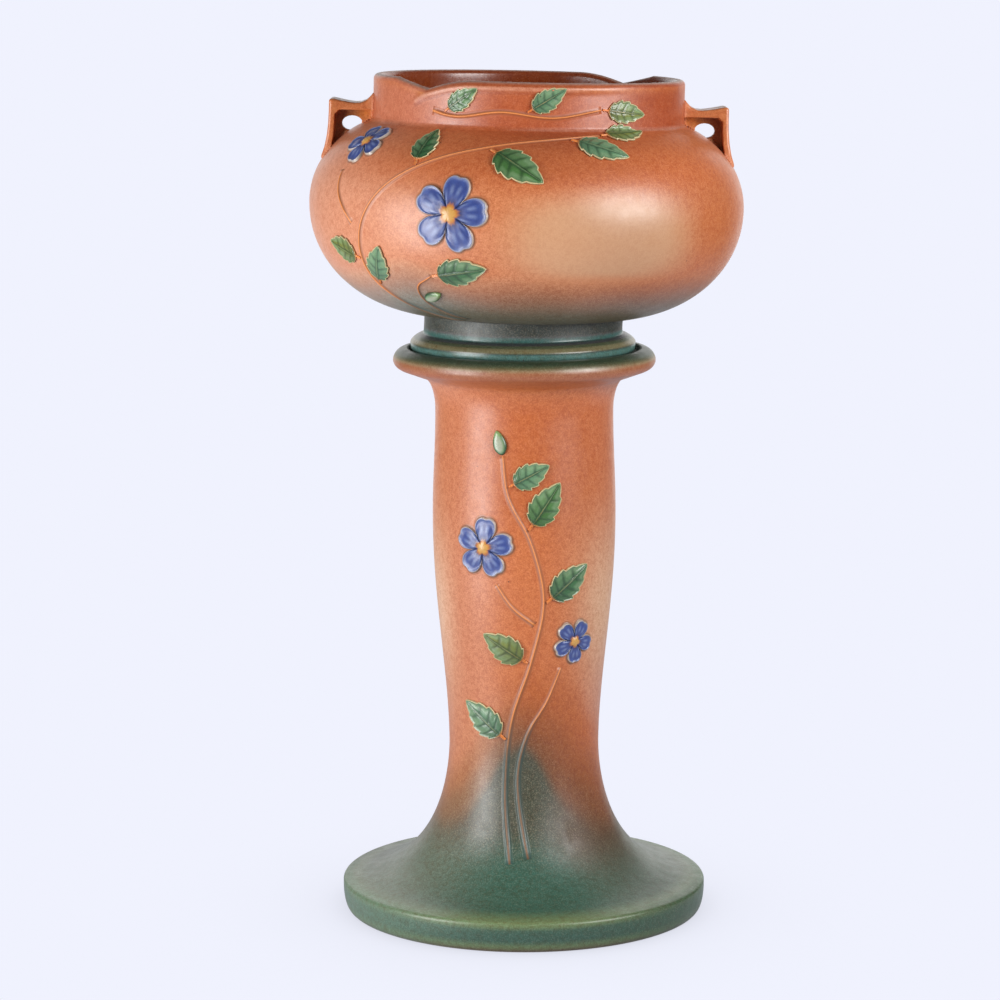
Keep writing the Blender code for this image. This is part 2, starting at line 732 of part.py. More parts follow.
def stem_mesh(name, skin, path):
    count = len(path)
    taper = [1 - STEM_TAPER * i / (count - 1) for i in range(count)]
    widths = [STEM_WIDTH * share for share in taper]
    crests = [STEM_THICKNESS * share for share in taper]
    return section_mesh(name, skin, strip(skin, path, widths, crests))


def blade_mesh(name, skin, place, heading_deg, length, width, thickness, stations):
    """A leaf or bud that starts at a place and points along a heading, measured from up to the right."""
    heading = math.radians(heading_deg)
    ahead = (math.sin(heading), math.cos(heading))
    path = [skin.offset(place, ahead[0] * length * t, ahead[1] * length * t) for t, _ in stations]
    widths = [width * share for _, share in stations]
    crests = [max(thickness * share, RELIEF_EDGE) for _, share in stations]
    return section_mesh(name, skin, strip(skin, path, widths, crests))


def blossom_mesh(name, skin, place, size, turn_deg):
    """An open blossom of round petals, domed at its heart."""
    count = PETALS * len(PETAL_OUTLINE)
    bm = bmesh.new()

    def ring(shares, out):
        verts = []
        for i in range(count):
            a = math.radians(turn_deg) + math.tau * i / count
            radius = size / 2 * shares[i % len(shares)]
            spot = skin.offset(place, radius * math.sin(a), radius * math.cos(a))
            verts.append(bm.verts.new(skin.point(spot[0], spot[1], out)))
        return verts

    heart = bm.verts.new(skin.point(place[0], place[1], RELIEF_LIFT + BLOSSOM_THICKNESS))
    back = bm.verts.new(skin.point(place[0], place[1], RELIEF_LIFT))
    rings = [
        ring((HEART_RADIUS_SHARE,), RELIEF_LIFT + BLOSSOM_THICKNESS * HEART_EDGE_SHARE),
        ring(PETAL_OUTLINE, RELIEF_LIFT + BLOSSOM_EDGE),
        ring((BACK_RADIUS_SHARE,), RELIEF_LIFT),
    ]
    for i in range(count):
        j = (i + 1) % count
        bm.faces.new((heart, rings[0][i], rings[0][j]))
        bm.faces.new((back, rings[2][j], rings[2][i]))
        for inner, outer in zip(rings, rings[1:]):
            bm.faces.new((inner[i], outer[i], outer[j], inner[j]))
    bmesh.ops.triangulate(bm, faces=bm.faces)
    return finish_mesh(name, bm)


def beside(skin, path, share, side):
    """A place just off a stem: on its left (-1), on its right (1) or beyond its end (0)."""
    if side == 0:
        across, up = direction(skin, path[-2], path[-1])
        return skin.offset(path[-1], across * RELIEF_GAP, up * RELIEF_GAP)
    i = min(max(round(share * (len(path) - 1)), 1), len(path) - 2)
    across, up = direction(skin, path[i - 1], path[i + 1])
    step = side * (STEM_WIDTH / 2 + RELIEF_GAP)
    return skin.offset(path[i], up * step, -across * step)


def decorate(prefix, skin, parent, stems, leaves, buds, blossoms):
    """Relief on the front of a body, and the same pieces half a turn round on its back."""
    paths = [smooth_curve([skin.place(*point) for point in points], steps) for steps, points in stems]
    pieces = []
    for number, path in enumerate(paths, 1):
        pieces.append((f"stem_{number}", stem_mesh(prefix, skin, path), "stem_orange"))
    for kind, blades, thickness, stations, material in (
        ("leaf", leaves, LEAF_THICKNESS, LEAF_STATIONS, "leaf_green"),
        ("bud", buds, BUD_THICKNESS, BUD_STATIONS, "bud_green"),
    ):
        for number, (stem, share, side, heading_deg, length, width) in enumerate(blades, 1):
            place = beside(skin, paths[stem], share, side)
            size = length * skin.upper, width * skin.upper
            mesh = blade_mesh(prefix, skin, place, heading_deg, *size, thickness, stations)
            pieces.append((f"{kind}_{number}", mesh, material))
    for number, (azimuth_deg, height, size, turn_deg) in enumerate(blossoms, 1):
        place = skin.place(azimuth_deg, height)
        mesh = blossom_mesh(prefix, skin, place, size * skin.upper, turn_deg)
        pieces.append((f"blossom_{number}", mesh, "blossom_blue"))
    for side, turn in (("front", 0.0), ("back", math.pi)):
        for name, mesh, material in pieces:
            piece = add_object(f"{prefix}_{side}_{name}", mesh, parent, material)
            piece.rotation_euler = (0, 0, turn)


def main():
    clear_scene()
    root = make_pedestal()
    lean = math.radians(BOWL_LEAN_DEG)
    seat = add_empty("jardiniere_seat", (-BOWL_SHIFT, 0, SEAT_Z + CLEARANCE))
    seat.rotation_euler = (0, lean, 0)
    make_bowl(seat)
    envelope = bowl_envelope(seat)
    make_handle("right_handle", seat, envelope, 0.0)
    make_handle("left_handle", seat, envelope, math.pi)
    belly_skin = Skin(bowl_side(24, 32) + [(NECK_RADIUS, RIM_Z)], BELLY_Z)
    decorate("bowl", belly_skin, seat, BOWL_STEMS, BOWL_LEAVES, BOWL_BUDS, BOWL_BLOSSOMS)
    shaft_skin = Skin(shaft_outline(0, 40, 40, 12), NARROW_Z)
    decorate(
        "pedestal", shaft_skin, root, PEDESTAL_STEMS, PEDESTAL_LEAVES, PEDESTAL_BUDS, PEDESTAL_BLOSSOMS
    )


main()
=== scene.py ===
"""The looks of a glazed two-piece jardiniere: turned bodies, handles, relief, glazes and a pale stage."""

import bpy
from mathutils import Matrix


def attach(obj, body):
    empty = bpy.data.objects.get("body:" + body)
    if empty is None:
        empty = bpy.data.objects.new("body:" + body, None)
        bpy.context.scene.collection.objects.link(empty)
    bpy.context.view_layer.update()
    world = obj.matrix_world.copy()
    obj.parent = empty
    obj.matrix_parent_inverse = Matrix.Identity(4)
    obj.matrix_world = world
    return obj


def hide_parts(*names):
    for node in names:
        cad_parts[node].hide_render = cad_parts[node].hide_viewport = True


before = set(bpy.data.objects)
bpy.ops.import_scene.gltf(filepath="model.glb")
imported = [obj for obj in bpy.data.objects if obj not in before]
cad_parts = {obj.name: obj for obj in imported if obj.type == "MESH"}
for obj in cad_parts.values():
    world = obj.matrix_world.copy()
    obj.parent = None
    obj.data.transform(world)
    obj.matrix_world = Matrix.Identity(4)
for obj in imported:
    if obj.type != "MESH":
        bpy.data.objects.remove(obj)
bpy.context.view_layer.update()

import math
from functools import partial

import bpy
import numpy as np
from mathutils import Matrix, Vector

# Sizes, in metres, as in the frame. Heights of the bowl are above its own foot.
SEGMENTS = 240
PEDESTAL_HEIGHT = 0.5015
BASE_RADIUS, BASE_HEIGHT, BASE_ROUND = 0.1614, 0.0269, 0.0035
FOOT_RING_RADIUS, FOOT_RING_WIDTH = 0.156, 0.012
FLARE_RISE, FLARE_SINK, FLARE_CURVE_RADIUS = 0.123, 0.0011, 0.1847
FLARE_EDGE_POWER, FLARE_WAIST_POWER = 0.431, 1.726
NARROW_RADIUS, WIDE_RADIUS, TOP_RADIUS = 0.0663, 0.0806, 0.0781
SWELL_SKEW, TAPER_RISE = 0.9, 0.092
FILLET_RISE, FILLET_REACH = 0.029, 0.0115
COLLAR_WIDTH, COLLAR_RISE, CREST_REACH, CREST_RISE = 0.0140, 0.044, 0.0116, 0.0105
LIP_REACH, LIP_RISE, LIP_START = 0.0105, 0.0085, -65.0
SEAT_RADIUS, SEAT_DEPTH, SEAT_FLOOR = 0.1009, 0.0049, 0.010
SEAT_ROUND, SEAT_CHAMFER, SEAT_CHAMFER_RISE, SEAT_MIDDLE = 0.0012, 0.0008, 0.0005, 0.05
WALL = 0.009

FOOT_BEAD_RADIUS, FOOT_BEAD_REACH, FOOT_BEAD_RISE, FOOT_BEAD_START = 0.0985, 0.0040, 0.0108, -68.0
FOOT_SHOULDER_RISE, FOOT_SHOULDER_POWER = 0.0077, 1.45
FOOT_WIDTH, FOOT_RECESS = 0.012, 0.005
WAIST_RADIUS, WAIST_RISE, WAIST_DRAW = 0.0870, 0.0165, 0.0003
BELLY_RADIUS, BELLY_REACH, BELLY_RISE, BELLY_POWER = 0.1885, 0.1089, 0.0955, 2.05
SHOULDER_REACH, SHOULDER_RISE = 0.0873, 0.077
NECK_RADIUS, NECK_HEIGHT, NECK_FILLET = 0.1345, 0.0393, 0.0015
FLOOR_THICKNESS, FLOOR_CORNER = 0.011, 0.008
LEAN, SHIFT, CLEARANCE = math.radians(1.3), 0.0012, 0.0003

NOTCH_AZIMUTH, NOTCH_DEPTH, NOTCH_ROUND, NOTCH_SLANT = -40.5, 0.0081, 20.0, 18.0
ROLL_OUT, ROLL_HALF, ROLL_DROP = 0.0016, 0.0026, 0.0052
# Degrees past a notch where the roll starts and ends, and how it runs on before it
BEFORE_NOTCH, ROLL_START, ROLL_END, ROLL_TURN = 20, (-10, -4), (52, 84), 90
RUN_ON, RUN_ON_DROP, RUN_ON_POWER = 12, 0.0009, 1.15
ON_AXIS = 1e-6

# Worked out
NARROW_Z = BASE_HEIGHT - FLARE_SINK + FLARE_RISE
COLLAR_Z = PEDESTAL_HEIGHT - CREST_RISE
SHAFT_TOP_Z = COLLAR_Z - COLLAR_RISE
WIDE_Z = SHAFT_TOP_Z - TAPER_RISE
SWELL_RISE = WIDE_Z - NARROW_Z
COLLAR_RADIUS = SEAT_RADIUS + COLLAR_WIDTH
SEAT_Z = PEDESTAL_HEIGHT - SEAT_DEPTH
FOOT_CENTRE = FOOT_BEAD_RADIUS - FOOT_BEAD_REACH
FOOT_RADIUS = FOOT_CENTRE + FOOT_BEAD_REACH * math.cos(math.radians(FOOT_BEAD_START))
FOOT_BEAD_Z = -FOOT_BEAD_RISE * math.sin(math.radians(FOOT_BEAD_START))
WAIST_FOOT_Z = FOOT_BEAD_Z + FOOT_SHOULDER_RISE
WAIST_TOP_Z = WAIST_FOOT_Z + WAIST_RISE
BELLY_CENTRE = BELLY_RADIUS - BELLY_REACH
BELLY_FOOT_SHARE = (WAIST_RADIUS + CLEARANCE - BELLY_CENTRE) / BELLY_REACH
BELLY_FOOT_DEG = -math.degrees(math.acos(BELLY_FOOT_SHARE ** (BELLY_POWER / 2)))
BELLY_Z = WAIST_TOP_Z + BELLY_RISE * (1 - BELLY_FOOT_SHARE**BELLY_POWER) ** (1 / BELLY_POWER)
SHOULDER_CENTRE = BELLY_RADIUS - SHOULDER_REACH
SHOULDER_END_DEG = math.degrees(math.acos((NECK_RADIUS - SHOULDER_CENTRE) / SHOULDER_REACH))
NECK_FOOT_Z = BELLY_Z + SHOULDER_RISE * math.sin(math.radians(SHOULDER_END_DEG))
RIM_Z = NECK_FOOT_Z + NECK_HEIGHT
RIM_ROUND = WALL / 2
BOWL_PLACE = Matrix.Translation((-SHIFT, 0, SEAT_Z + CLEARANCE)) @ Matrix.Rotation(LEAN, 4, "Y")

# Glaze colours, linear
TERRACOTTA = (0.66, 0.225, 0.085)
SIDE_TERRACOTTA = (0.57, 0.215, 0.120)
# The first colour here is painted sheen: a pale pink on the left of each face of the bowl.
LEFT_SHEEN_PINK, HIGH_ORANGE = (0.69, 0.310, 0.190), (0.66, 0.180, 0.055)
DEEP_ORANGE = (0.49, 0.145, 0.045)
SHOULDER, DARK_SHOULDER = (0.53, 0.138, 0.040), (0.38, 0.080, 0.022)
NECK, NECK_RIGHT, NECK_PALE = (0.48, 0.108, 0.030), (0.38, 0.076, 0.020), (0.58, 0.185, 0.095)
CREAM, DEEP_CREAM = (0.64, 0.335, 0.180), (0.53, 0.280, 0.150)
# The second colour here is the cream glaze made paler with painted sheen, for the left edge of the shaft.
SIDE_CREAM, LEFT_CREAM_AND_SHEEN = (0.70, 0.420, 0.260), (0.80, 0.490, 0.325)
UNDER = (
    (-0.096, (0.085, 0.075, 0.045)),
    (-0.088, (0.125, 0.120, 0.085)),
    (-0.082, (0.165, 0.140, 0.100)),
    (-0.076, (0.235, 0.150, 0.100)),
    (-0.068, (0.340, 0.150, 0.080)),
    (-0.060, (0.460, 0.170, 0.070)),
    (-0.051, (0.600, 0.230, 0.095)),
)
SHAFT, SHAFT_TOP = (0.62, 0.180, 0.052), (0.52, 0.135, 0.035)
# The first colour here is painted sheen, pale on the left of the shaft.
# The second colour here is added as painted sheen, low on the left of the belly.
SHAFT_LEFT_SHEEN, UNDER_LEFT_SHEEN = (0.62, 0.230, 0.110), (0.04, 0.105, 0.115)
UNDER_RIGHT = (0.80, 0.66, 0.52)
PLUME_RIGHT = ((0.21, 0.060, 0.010), (0.34, 0.085, 0.012), (0.50, 0.125, 0.022))
PLUME_LEFT = ((0.28, 0.145, 0.072), (0.45, 0.175, 0.068), (0.61, 0.230, 0.105))
INTERIOR = (0.265, 0.044, 0.004)
EDGE_GREY = (0.50, 0.34, 0.29)
EDGE_ORANGE = (0.60, 0.19, 0.055)
# A painted highlight for the crest of the rolled rim.
ROLL_HIGHLIGHT = (0.66, 0.30, 0.20)
DARK_TEAL = (0.012, 0.036, 0.034)
FOOT_TEAL = (0.075, 0.185, 0.170)
FOOT_TAN = (0.165, 0.155, 0.080)
FOOT_GREEN = (0.062, 0.085, 0.045)
GROOVE_GREY = (0.040, 0.042, 0.050)
WAIST_TEAL = (0.030, 0.115, 0.105)
# A painted highlight: the thin pale ring where the waist meets the foot's bead.
WAIST_HIGHLIGHT = (0.13, 0.13, 0.14)
WAIST_GREY = (0.036, 0.048, 0.043)
PLUME, PLUME_SIDE = (0.054, 0.062, 0.040), (0.150, 0.125, 0.090)
PLUME_BROWN = (0.080, 0.040, 0.012)
BASE_TEAL = (0.030, 0.108, 0.076)
BASE_RIGHT, SIDE_DARK = (0.060, 0.100, 0.070), (0.026, 0.076, 0.036)
BASE_PALE = (0.125, 0.172, 0.128)
BASE_GREEN = (0.150, 0.230, 0.100)
BASE_SIDE = (0.038, 0.112, 0.078)
COLLAR_GREEN = (0.026, 0.050, 0.027)
# The second colour here is painted shade, for the hollow round the handle's hole.
WEB_BROWN, WEB_SHADE = (0.60, 0.200, 0.028), (0.33, 0.105, 0.016)
CLAY = (0.55, 0.45, 0.33)
LEAF_GREENS = ((0.07, 0.20, 0.05), (0.13, 0.28, 0.15), (0.20, 0.24, 0.05), (0.045, 0.16, 0.055))
LEAF_DARK, LEAF_TIP = (0.008, 0.030, 0.014), (0.23, 0.37, 0.20)
LEAF_EDGE = (0.60, 0.52, 0.28)
PETAL_BLUE = (0.050, 0.090, 0.32)
PETAL_PALE = (0.23, 0.30, 0.52)
PETAL_EDGE = (0.60, 0.52, 0.42)
HEART_ORANGE = (0.58, 0.22, 0.05)
BUD_GREEN = (0.03, 0.09, 0.04)
STEM_ORANGE = (0.84, 0.29, 0.075)
STEM_LINE, STEM_DARK = (0.34, 0.165, 0.130), (0.26, 0.075, 0.028)
STEM_BROWN, STEM_TEAL = (0.22, 0.110, 0.048), (0.045, 0.095, 0.090)
HALO, HALO_SHARE = (0.085, 0.05, 0.04), 0.62
BASE_LIP, BASE_RIM_LEFT = (0.150, 0.205, 0.130), (0.130, 0.225, 0.160)
WEB_POOL = (0.62, 0.19, 0.025)
BUD_TIP, BUD_PALE, BUD_CREAM = (0.20, 0.34, 0.12), (0.30, 0.48, 0.25), (0.62, 0.66, 0.50)
PETAL_VEIN, PETAL_DARK = (0.030, 0.045, 0.20), (0.012, 0.020, 0.085)
HEART_BLUE, HEART_YELLOW = (0.04, 0.045, 0.16), (0.66, 0.36, 0.09)
GRAIN_DARK, GRAIN_PALE = (0.74, 0.52, 0.38, 1.0), (1.0, 0.78, 0.62, 1.0)
FLECK_TAN = (0.15, 0.125, 0.080, 1.0)
SPOT_DARK = (0.045, 0.018, 0.010, 1.0)

# Rings of colour: heights up the bowl's foot, up the base plate's edge, and above the collar's middle
FOOT_BANDS = (
    # The first dark teal ring is painted shade at the bottom of the foot, where it sits down in the seat.
    (0.0035, DARK_TEAL), (0.0052, FOOT_TEAL), (0.0084, FOOT_TEAL), (0.0095, DARK_TEAL), (0.0108, FOOT_TAN),
    (0.0134, FOOT_TAN), (0.0142, FOOT_GREEN), (0.0156, FOOT_GREEN), (0.0163, GROOVE_GREY),
    # The pale ring at 22 mm is a painted highlight.
    (0.0174, GROOVE_GREY), (0.0182, WAIST_TEAL), (0.0212, WAIST_TEAL), (0.0222, WAIST_HIGHLIGHT),
    (0.0232, WAIST_GREY),
)
BASE_BANDS = (
    (0.0, (0.10, 0.05, 0.02)), (0.0012, (0.13, 0.10, 0.045)), (0.0050, BASE_GREEN), (0.0100, BASE_SIDE),
    (0.0195, BASE_SIDE), (0.0235, BASE_GREEN), (0.0275, BASE_GREEN), (0.0300, BASE_SIDE),
)
COLLAR_BANDS = (
    (-0.012, (0.62, 0.175, 0.070)), (-0.002, (0.36, 0.125, 0.052)), (0.0010, (0.34, 0.14, 0.065)),
    # The pale tan ring 2.8 mm above the collar's middle is tan glaze with a painted highlight on the
    # collar's round.
    (0.0028, (0.30, 0.20, 0.105)), (0.0045, (0.135, 0.115, 0.050)), (0.0062, (0.060, 0.075, 0.034)),
    (0.0080, COLLAR_GREEN),
)
# Shoulder colours: height above the belly where each starts and is full, waviness, middle and half width
SHOULDER_TINTS = (
    (HIGH_ORANGE, (0.018, 0.046), 0.0, (0, 60)),
    (SHOULDER, (0.012, 0.046), 0.003, (14, 42)),
    (DARK_SHOULDER, (0.050, 0.070), 0.0, (12, 26)),
)
# The cream patch on the belly: its middle and half size, in degrees and metres above the belly
PATCH_MIDDLE, PATCH_HALF, PATCH_POWER, PATCH_FADE = (21, -0.0155), (26, 0.0375), 2.5, (0.60, 1.34)
# The dark plume up the shaft: shares of its height where each of its tints takes over
PLUME_STEPS, PLUME_END = ((0, 0.28), (0.25, 0.55), (0.5, 0.8)), (0.75, 1.1)


# Shapes of the turned bodies


def arc(centre, reach, rise, start_deg, end_deg, steps, power=2.0):
    """Points on an ellipse or superellipse in the (radius, height) plane."""
    angles = np.radians(np.linspace(start_deg, end_deg, steps + 1))
    across, up = (np.copysign(np.abs(v) ** (2 / power), v) for v in (np.cos(angles), np.sin(angles)))
    return list(zip(centre[0] + reach * across, centre[1] + rise * up))


def line(start, end, steps):
    return list(zip(np.linspace(start[0], end[0], steps + 1), np.linspace(start[1], end[1], steps + 1)))


def moved_in(points, inset):
    """An outline moved towards its left-hand side by a wall thickness."""
    p = np.array(points)
    along = np.gradient(p, axis=0)
    along /= np.linalg.norm(along, axis=1)[:, None]
    return list(map(tuple, p + inset * np.stack([-along[:, 1], along[:, 0]], 1)))


def shaft_outline(flare_steps, swell_steps, taper_steps):
    """The pedestal's side from the base plate to the fillet under its collar."""
    spread = FLARE_CURVE_RADIUS - NARROW_RADIUS
    edge = (BASE_RADIUS - BASE_ROUND - NARROW_RADIUS) / spread
    start = (1 - edge ** (1 / FLARE_WAIST_POWER)) ** (1 / FLARE_EDGE_POWER)
    t = start + (1 - start) * np.linspace(0, 1, flare_steps + 1) ** 2
    flare_r = NARROW_RADIUS + spread * (1 - t**FLARE_EDGE_POWER) ** FLARE_WAIST_POWER
    flare = list(zip(flare_r, BASE_HEIGHT - FLARE_SINK + FLARE_RISE * t))
    t = np.linspace(0, 1, swell_steps + 1)[1:]
    swell_r = NARROW_RADIUS + (WIDE_RADIUS - NARROW_RADIUS) * (1 - np.cos(np.pi * t**SWELL_SKEW)) / 2
    swell = list(zip(swell_r, NARROW_Z + SWELL_RISE * t))
    t = np.linspace(0, 1, taper_steps + 1)[1:]
    taper_r = WIDE_RADIUS + (TOP_RADIUS - WIDE_RADIUS) * (1 - np.cos(np.pi * t)) / 2
    return flare + swell + list(zip(taper_r, WIDE_Z + TAPER_RISE * t))


def pedestal_outline():
    """Closed from the underside of the seat, down inside, up outside and over the collar to the seat."""
    side = shaft_outline(flare_steps=70, swell_steps=70, taper_steps=26)
    foot_rise = BASE_HEIGHT - 2 * BASE_ROUND
    outer = arc((FOOT_RING_RADIUS, foot_rise), BASE_RADIUS - FOOT_RING_RADIUS, foot_rise, -90, 0, 10)
    corner_centre = (BASE_RADIUS - BASE_ROUND, BASE_HEIGHT - BASE_ROUND)
    outer += arc(corner_centre, BASE_ROUND, BASE_ROUND, 0, 78, 8) + side
    outer += arc((TOP_RADIUS + FILLET_REACH, SHAFT_TOP_Z), FILLET_REACH, FILLET_RISE, 180, 100, 16)[1:]
    outer += arc((COLLAR_RADIUS - LIP_REACH, COLLAR_Z), LIP_REACH, LIP_RISE, LIP_START, 0, 12)
    crest = (COLLAR_RADIUS - CREST_REACH, COLLAR_Z)
    outer += arc(crest, CREST_REACH, CREST_RISE, 0, 90, 16)[1:]
    ring_inner = FOOT_RING_RADIUS - FOOT_RING_WIDTH
    hollow = [p for p in moved_in(side[::6], WALL) if p[0] < ring_inner]
    under_seat = SEAT_Z - SEAT_FLOOR
    inner = [(ring_inner, 0.0), (ring_inner, hollow[0][1] - BASE_ROUND)] + hollow
    inner += [(TOP_RADIUS - WALL, under_seat), (0.0, under_seat)]
    edge = (SEAT_RADIUS + SEAT_ROUND, PEDESTAL_HEIGHT - SEAT_ROUND)
    seat = arc(edge, SEAT_ROUND, SEAT_ROUND, 90, 180, 3)
    seat += [(SEAT_RADIUS, SEAT_Z + SEAT_CHAMFER_RISE), (SEAT_RADIUS - SEAT_CHAMFER, SEAT_Z)]
    seat += [(SEAT_MIDDLE, SEAT_Z), (0.0, SEAT_Z)]
    return inner[::-1], outer, seat


def bowl_foot_outline():
    """The foot's side, its round shoulder and the waist, drawn in a little at its middle."""
    side = arc((FOOT_CENTRE, FOOT_BEAD_Z), FOOT_BEAD_REACH, FOOT_BEAD_RISE, FOOT_BEAD_START, 0, 12)
    reach = FOOT_BEAD_RADIUS - WAIST_RADIUS
    shoulder = arc((WAIST_RADIUS, FOOT_BEAD_Z), reach, FOOT_SHOULDER_RISE, 0, 84, 18, FOOT_SHOULDER_POWER)
    up = np.linspace(0.06, 0.97, 12)
    waist = zip(WAIST_RADIUS - WAIST_DRAW * np.sin(np.pi * up), WAIST_FOOT_Z + WAIST_RISE * up)
    return side + shoulder[1:] + list(waist)


def bowl_side_outline(shoulder_steps, belly_steps):
    centre = (BELLY_CENTRE, BELLY_Z)
    belly = arc(centre, BELLY_REACH, BELLY_RISE, BELLY_FOOT_DEG, 0, belly_steps, BELLY_POWER)
    centre = (SHOULDER_CENTRE, BELLY_Z)
    shoulder = arc(centre, SHOULDER_REACH, SHOULDER_RISE, 0, SHOULDER_END_DEG, shoulder_steps)
    fillet = [(NECK_RADIUS + NECK_FILLET, NECK_FOOT_Z), (NECK_RADIUS, NECK_FOOT_Z + NECK_FILLET)]
    return belly + shoulder[1:-1] + fillet


def bowl_outline():
    """Closed from the middle of the underside, up outside, over the rim and down to the floor."""
    recess = FOOT_RADIUS - FOOT_WIDTH
    under = [(0.0, FOOT_RECESS), (recess - FOOT_RECESS, FOOT_RECESS), (recess, 0.0)]
    neck_foot = (NECK_RADIUS, NECK_FOOT_Z + NECK_FILLET)
    outer = bowl_foot_outline() + bowl_side_outline(44, 70)
    outer += line(neck_foot, (NECK_RADIUS, RIM_Z - RIM_ROUND), 20)[1:]
    lip = arc((NECK_RADIUS - RIM_ROUND, RIM_Z - RIM_ROUND), RIM_ROUND, RIM_ROUND, 0, 180, 12)[1:]
    neck_r, foot_r = NECK_RADIUS - WALL, WAIST_RADIUS - WALL
    reach, rise = BELLY_REACH - WALL, BELLY_RISE - WALL
    foot_share = (foot_r + WALL / 4 - BELLY_CENTRE) / reach
    foot_deg = -math.degrees(math.acos(foot_share ** (BELLY_POWER / 2)))
    top_deg = math.degrees(math.acos((neck_r - SHOULDER_CENTRE) / (SHOULDER_REACH - WALL)))
    inner = line((neck_r, RIM_Z - RIM_ROUND), (neck_r, NECK_FOOT_Z), 10)[1:]
    inner += arc((SHOULDER_CENTRE, BELLY_Z), SHOULDER_REACH - WALL, SHOULDER_RISE - WALL, top_deg, 0, 16)
    inner += arc((BELLY_CENTRE, BELLY_Z), reach, rise, 0, foot_deg, 24, BELLY_POWER)[1:]
    floor_z = FOOT_RECESS + FLOOR_THICKNESS
    inner += [(foot_r, floor_z + FLOOR_CORNER), (foot_r - FLOOR_CORNER, floor_z), (0.0, floor_z)]
    return under, outer, lip, inner


def smoothstep(low, high, x):
    t = np.clip((x - low) / (high - low), 0.0, 1.0)
    return t * t * (3 - 2 * t)


def bump(x, centre, half):
    return np.exp(-(((x - centre) / half) ** 2))


def rim_height(azimuth_deg):
    """Height of the rim against its plain level: two notches half a turn apart."""
    past = (azimuth_deg - NOTCH_AZIMUTH) % 180
    rounded = -NOTCH_DEPTH * (1 - np.sin(np.pi / 2 * np.clip(past / NOTCH_ROUND, 0, 1)))
    slant = -NOTCH_DEPTH * np.clip(1 - (180 - past) / NOTCH_SLANT, 0, 1)
    return np.where(past < NOTCH_ROUND, rounded, slant)


def roll_out(azimuth_deg, height):
    """The rolled edge of a lobe: a rib under the rim that runs on past the notch, down the neck."""
    past = (azimuth_deg - NOTCH_AZIMUTH + BEFORE_NOTCH) % 180 - BEFORE_NOTCH
    run_on = np.clip(-past, 0, RUN_ON)
    level = rim_height(NOTCH_AZIMUTH + np.clip(past, 0, ROLL_TURN))
    crest = RIM_Z - ROLL_DROP + level - RUN_ON_DROP * run_on**RUN_ON_POWER
    fade = smoothstep(*ROLL_START, past) * (1 - smoothstep(*ROLL_END, past))
    return ROLL_OUT * fade * bump(height, crest, ROLL_HALF)


def shape_neck(azimuth_deg, r, z):
    """Moves the upper half of the neck with the rim, and raises the rolled edge."""
    still = NECK_FOOT_Z + NECK_HEIGHT / 2
    share = np.clip((z - still) / (RIM_Z - 2 * RIM_ROUND - still), 0, 1)
    outside = r > NECK_RADIUS - RIM_ROUND / 2
    lifted = z + share * rim_height(azimuth_deg)
    moved = r + np.where(outside & (z > NECK_FOOT_Z), roll_out(azimuth_deg, lifted), 0)
    return np.where(z > still, moved, np.where(z > NECK_FOOT_Z, moved, r)), lifted


def level_foot(points):
    """Turns the foot back from the bowl's lean, so that it stands flat in the seat."""
    back = -LEAN * np.clip((WAIST_TOP_Z - points[:, 2]) / WAIST_RISE, 0, 1)
    x, y, z = points.T
    return np.stack([x * np.cos(back) + z * np.sin(back), y, z * np.cos(back) - x * np.sin(back)], 1)


# Meshes


def linked(name, data):
    thing = bpy.data.objects.new(name, data)
    bpy.context.scene.collection.objects.link(thing)
    return thing


def dress(mesh, material, **attributes):
    """Gives a mesh its points' floats and colours, smooth shading and its material."""
    for label, values in attributes.items():
        values = np.asarray(values, np.float32)
        if values.ndim == 2:
            layer = mesh.color_attributes.new(label, "FLOAT_COLOR", "POINT")
            layer.data.foreach_set("color", np.insert(values, 3, 1.0, axis=1).ravel())
        else:
            mesh.attributes.new(label, "FLOAT", "POINT").data.foreach_set("value", values)
    mesh.shade_smooth()
    mesh.materials.clear()
    mesh.materials.append(material)


def new_object(name, points, faces, body, node, slot, material, **attributes):
    """A dressed object made from points and faces, riding in a node's place."""
    mesh = bpy.data.meshes.new(name)
    mesh.from_pydata([tuple(p) for p in points], [], faces)
    mesh.update()
    dress(mesh, material, **attributes)
    thing = linked(name, mesh)
    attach(thing, body)
    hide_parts(node)


def grid_faces(rings, columns):
    """Quads between closed rings of points."""
    faces = []
    for low in range(0, (rings - 1) * columns, columns):
        for j in range(columns):
            k = (j + 1) % columns
            faces.append((low + j, low + k, low + columns + k, low + columns + j))
    return faces


def turn(outline):
    """Turns an outline about Z, with one point at each end that lies on the axis.

    Gives each point's azimuth from the front, radius, height and row in the outline, and the faces.
    """
    around = np.linspace(-np.pi, np.pi, SEGMENTS, endpoint=False)
    places, starts, faces = [], [], []
    for row, (radius, height) in enumerate(outline):
        starts.append(len(places))
        places += [(angle, radius, height, row) for angle in (around if radius > ON_AXIS else around[:1])]
    for (low_r, _), (high_r, _), low, high in zip(outline, outline[1:], starts, starts[1:]):
        for j in range(SEGMENTS):
            k = (j + 1) % SEGMENTS
            if low_r <= ON_AXIS:
                faces.append((low, high + k, high + j))
            elif high_r <= ON_AXIS:
                faces.append((low + j, low + k, high))
            else:
                faces.append((low + j, low + k, high + k, high + j))
    return *np.array(places).T, faces


def xyz(azimuth, r, z):
    return np.stack([r * np.sin(azimuth), -r * np.cos(azimuth), z], -1)


def placed(points, matrix):
    m = np.array(matrix)
    return points @ m[:3, :3].T + m[:3, 3]


# Glaze colours over the bodies


def mix(a, b, share):
    return np.asarray(a) + (np.asarray(b) - np.asarray(a)) * np.asarray(share)[..., None]


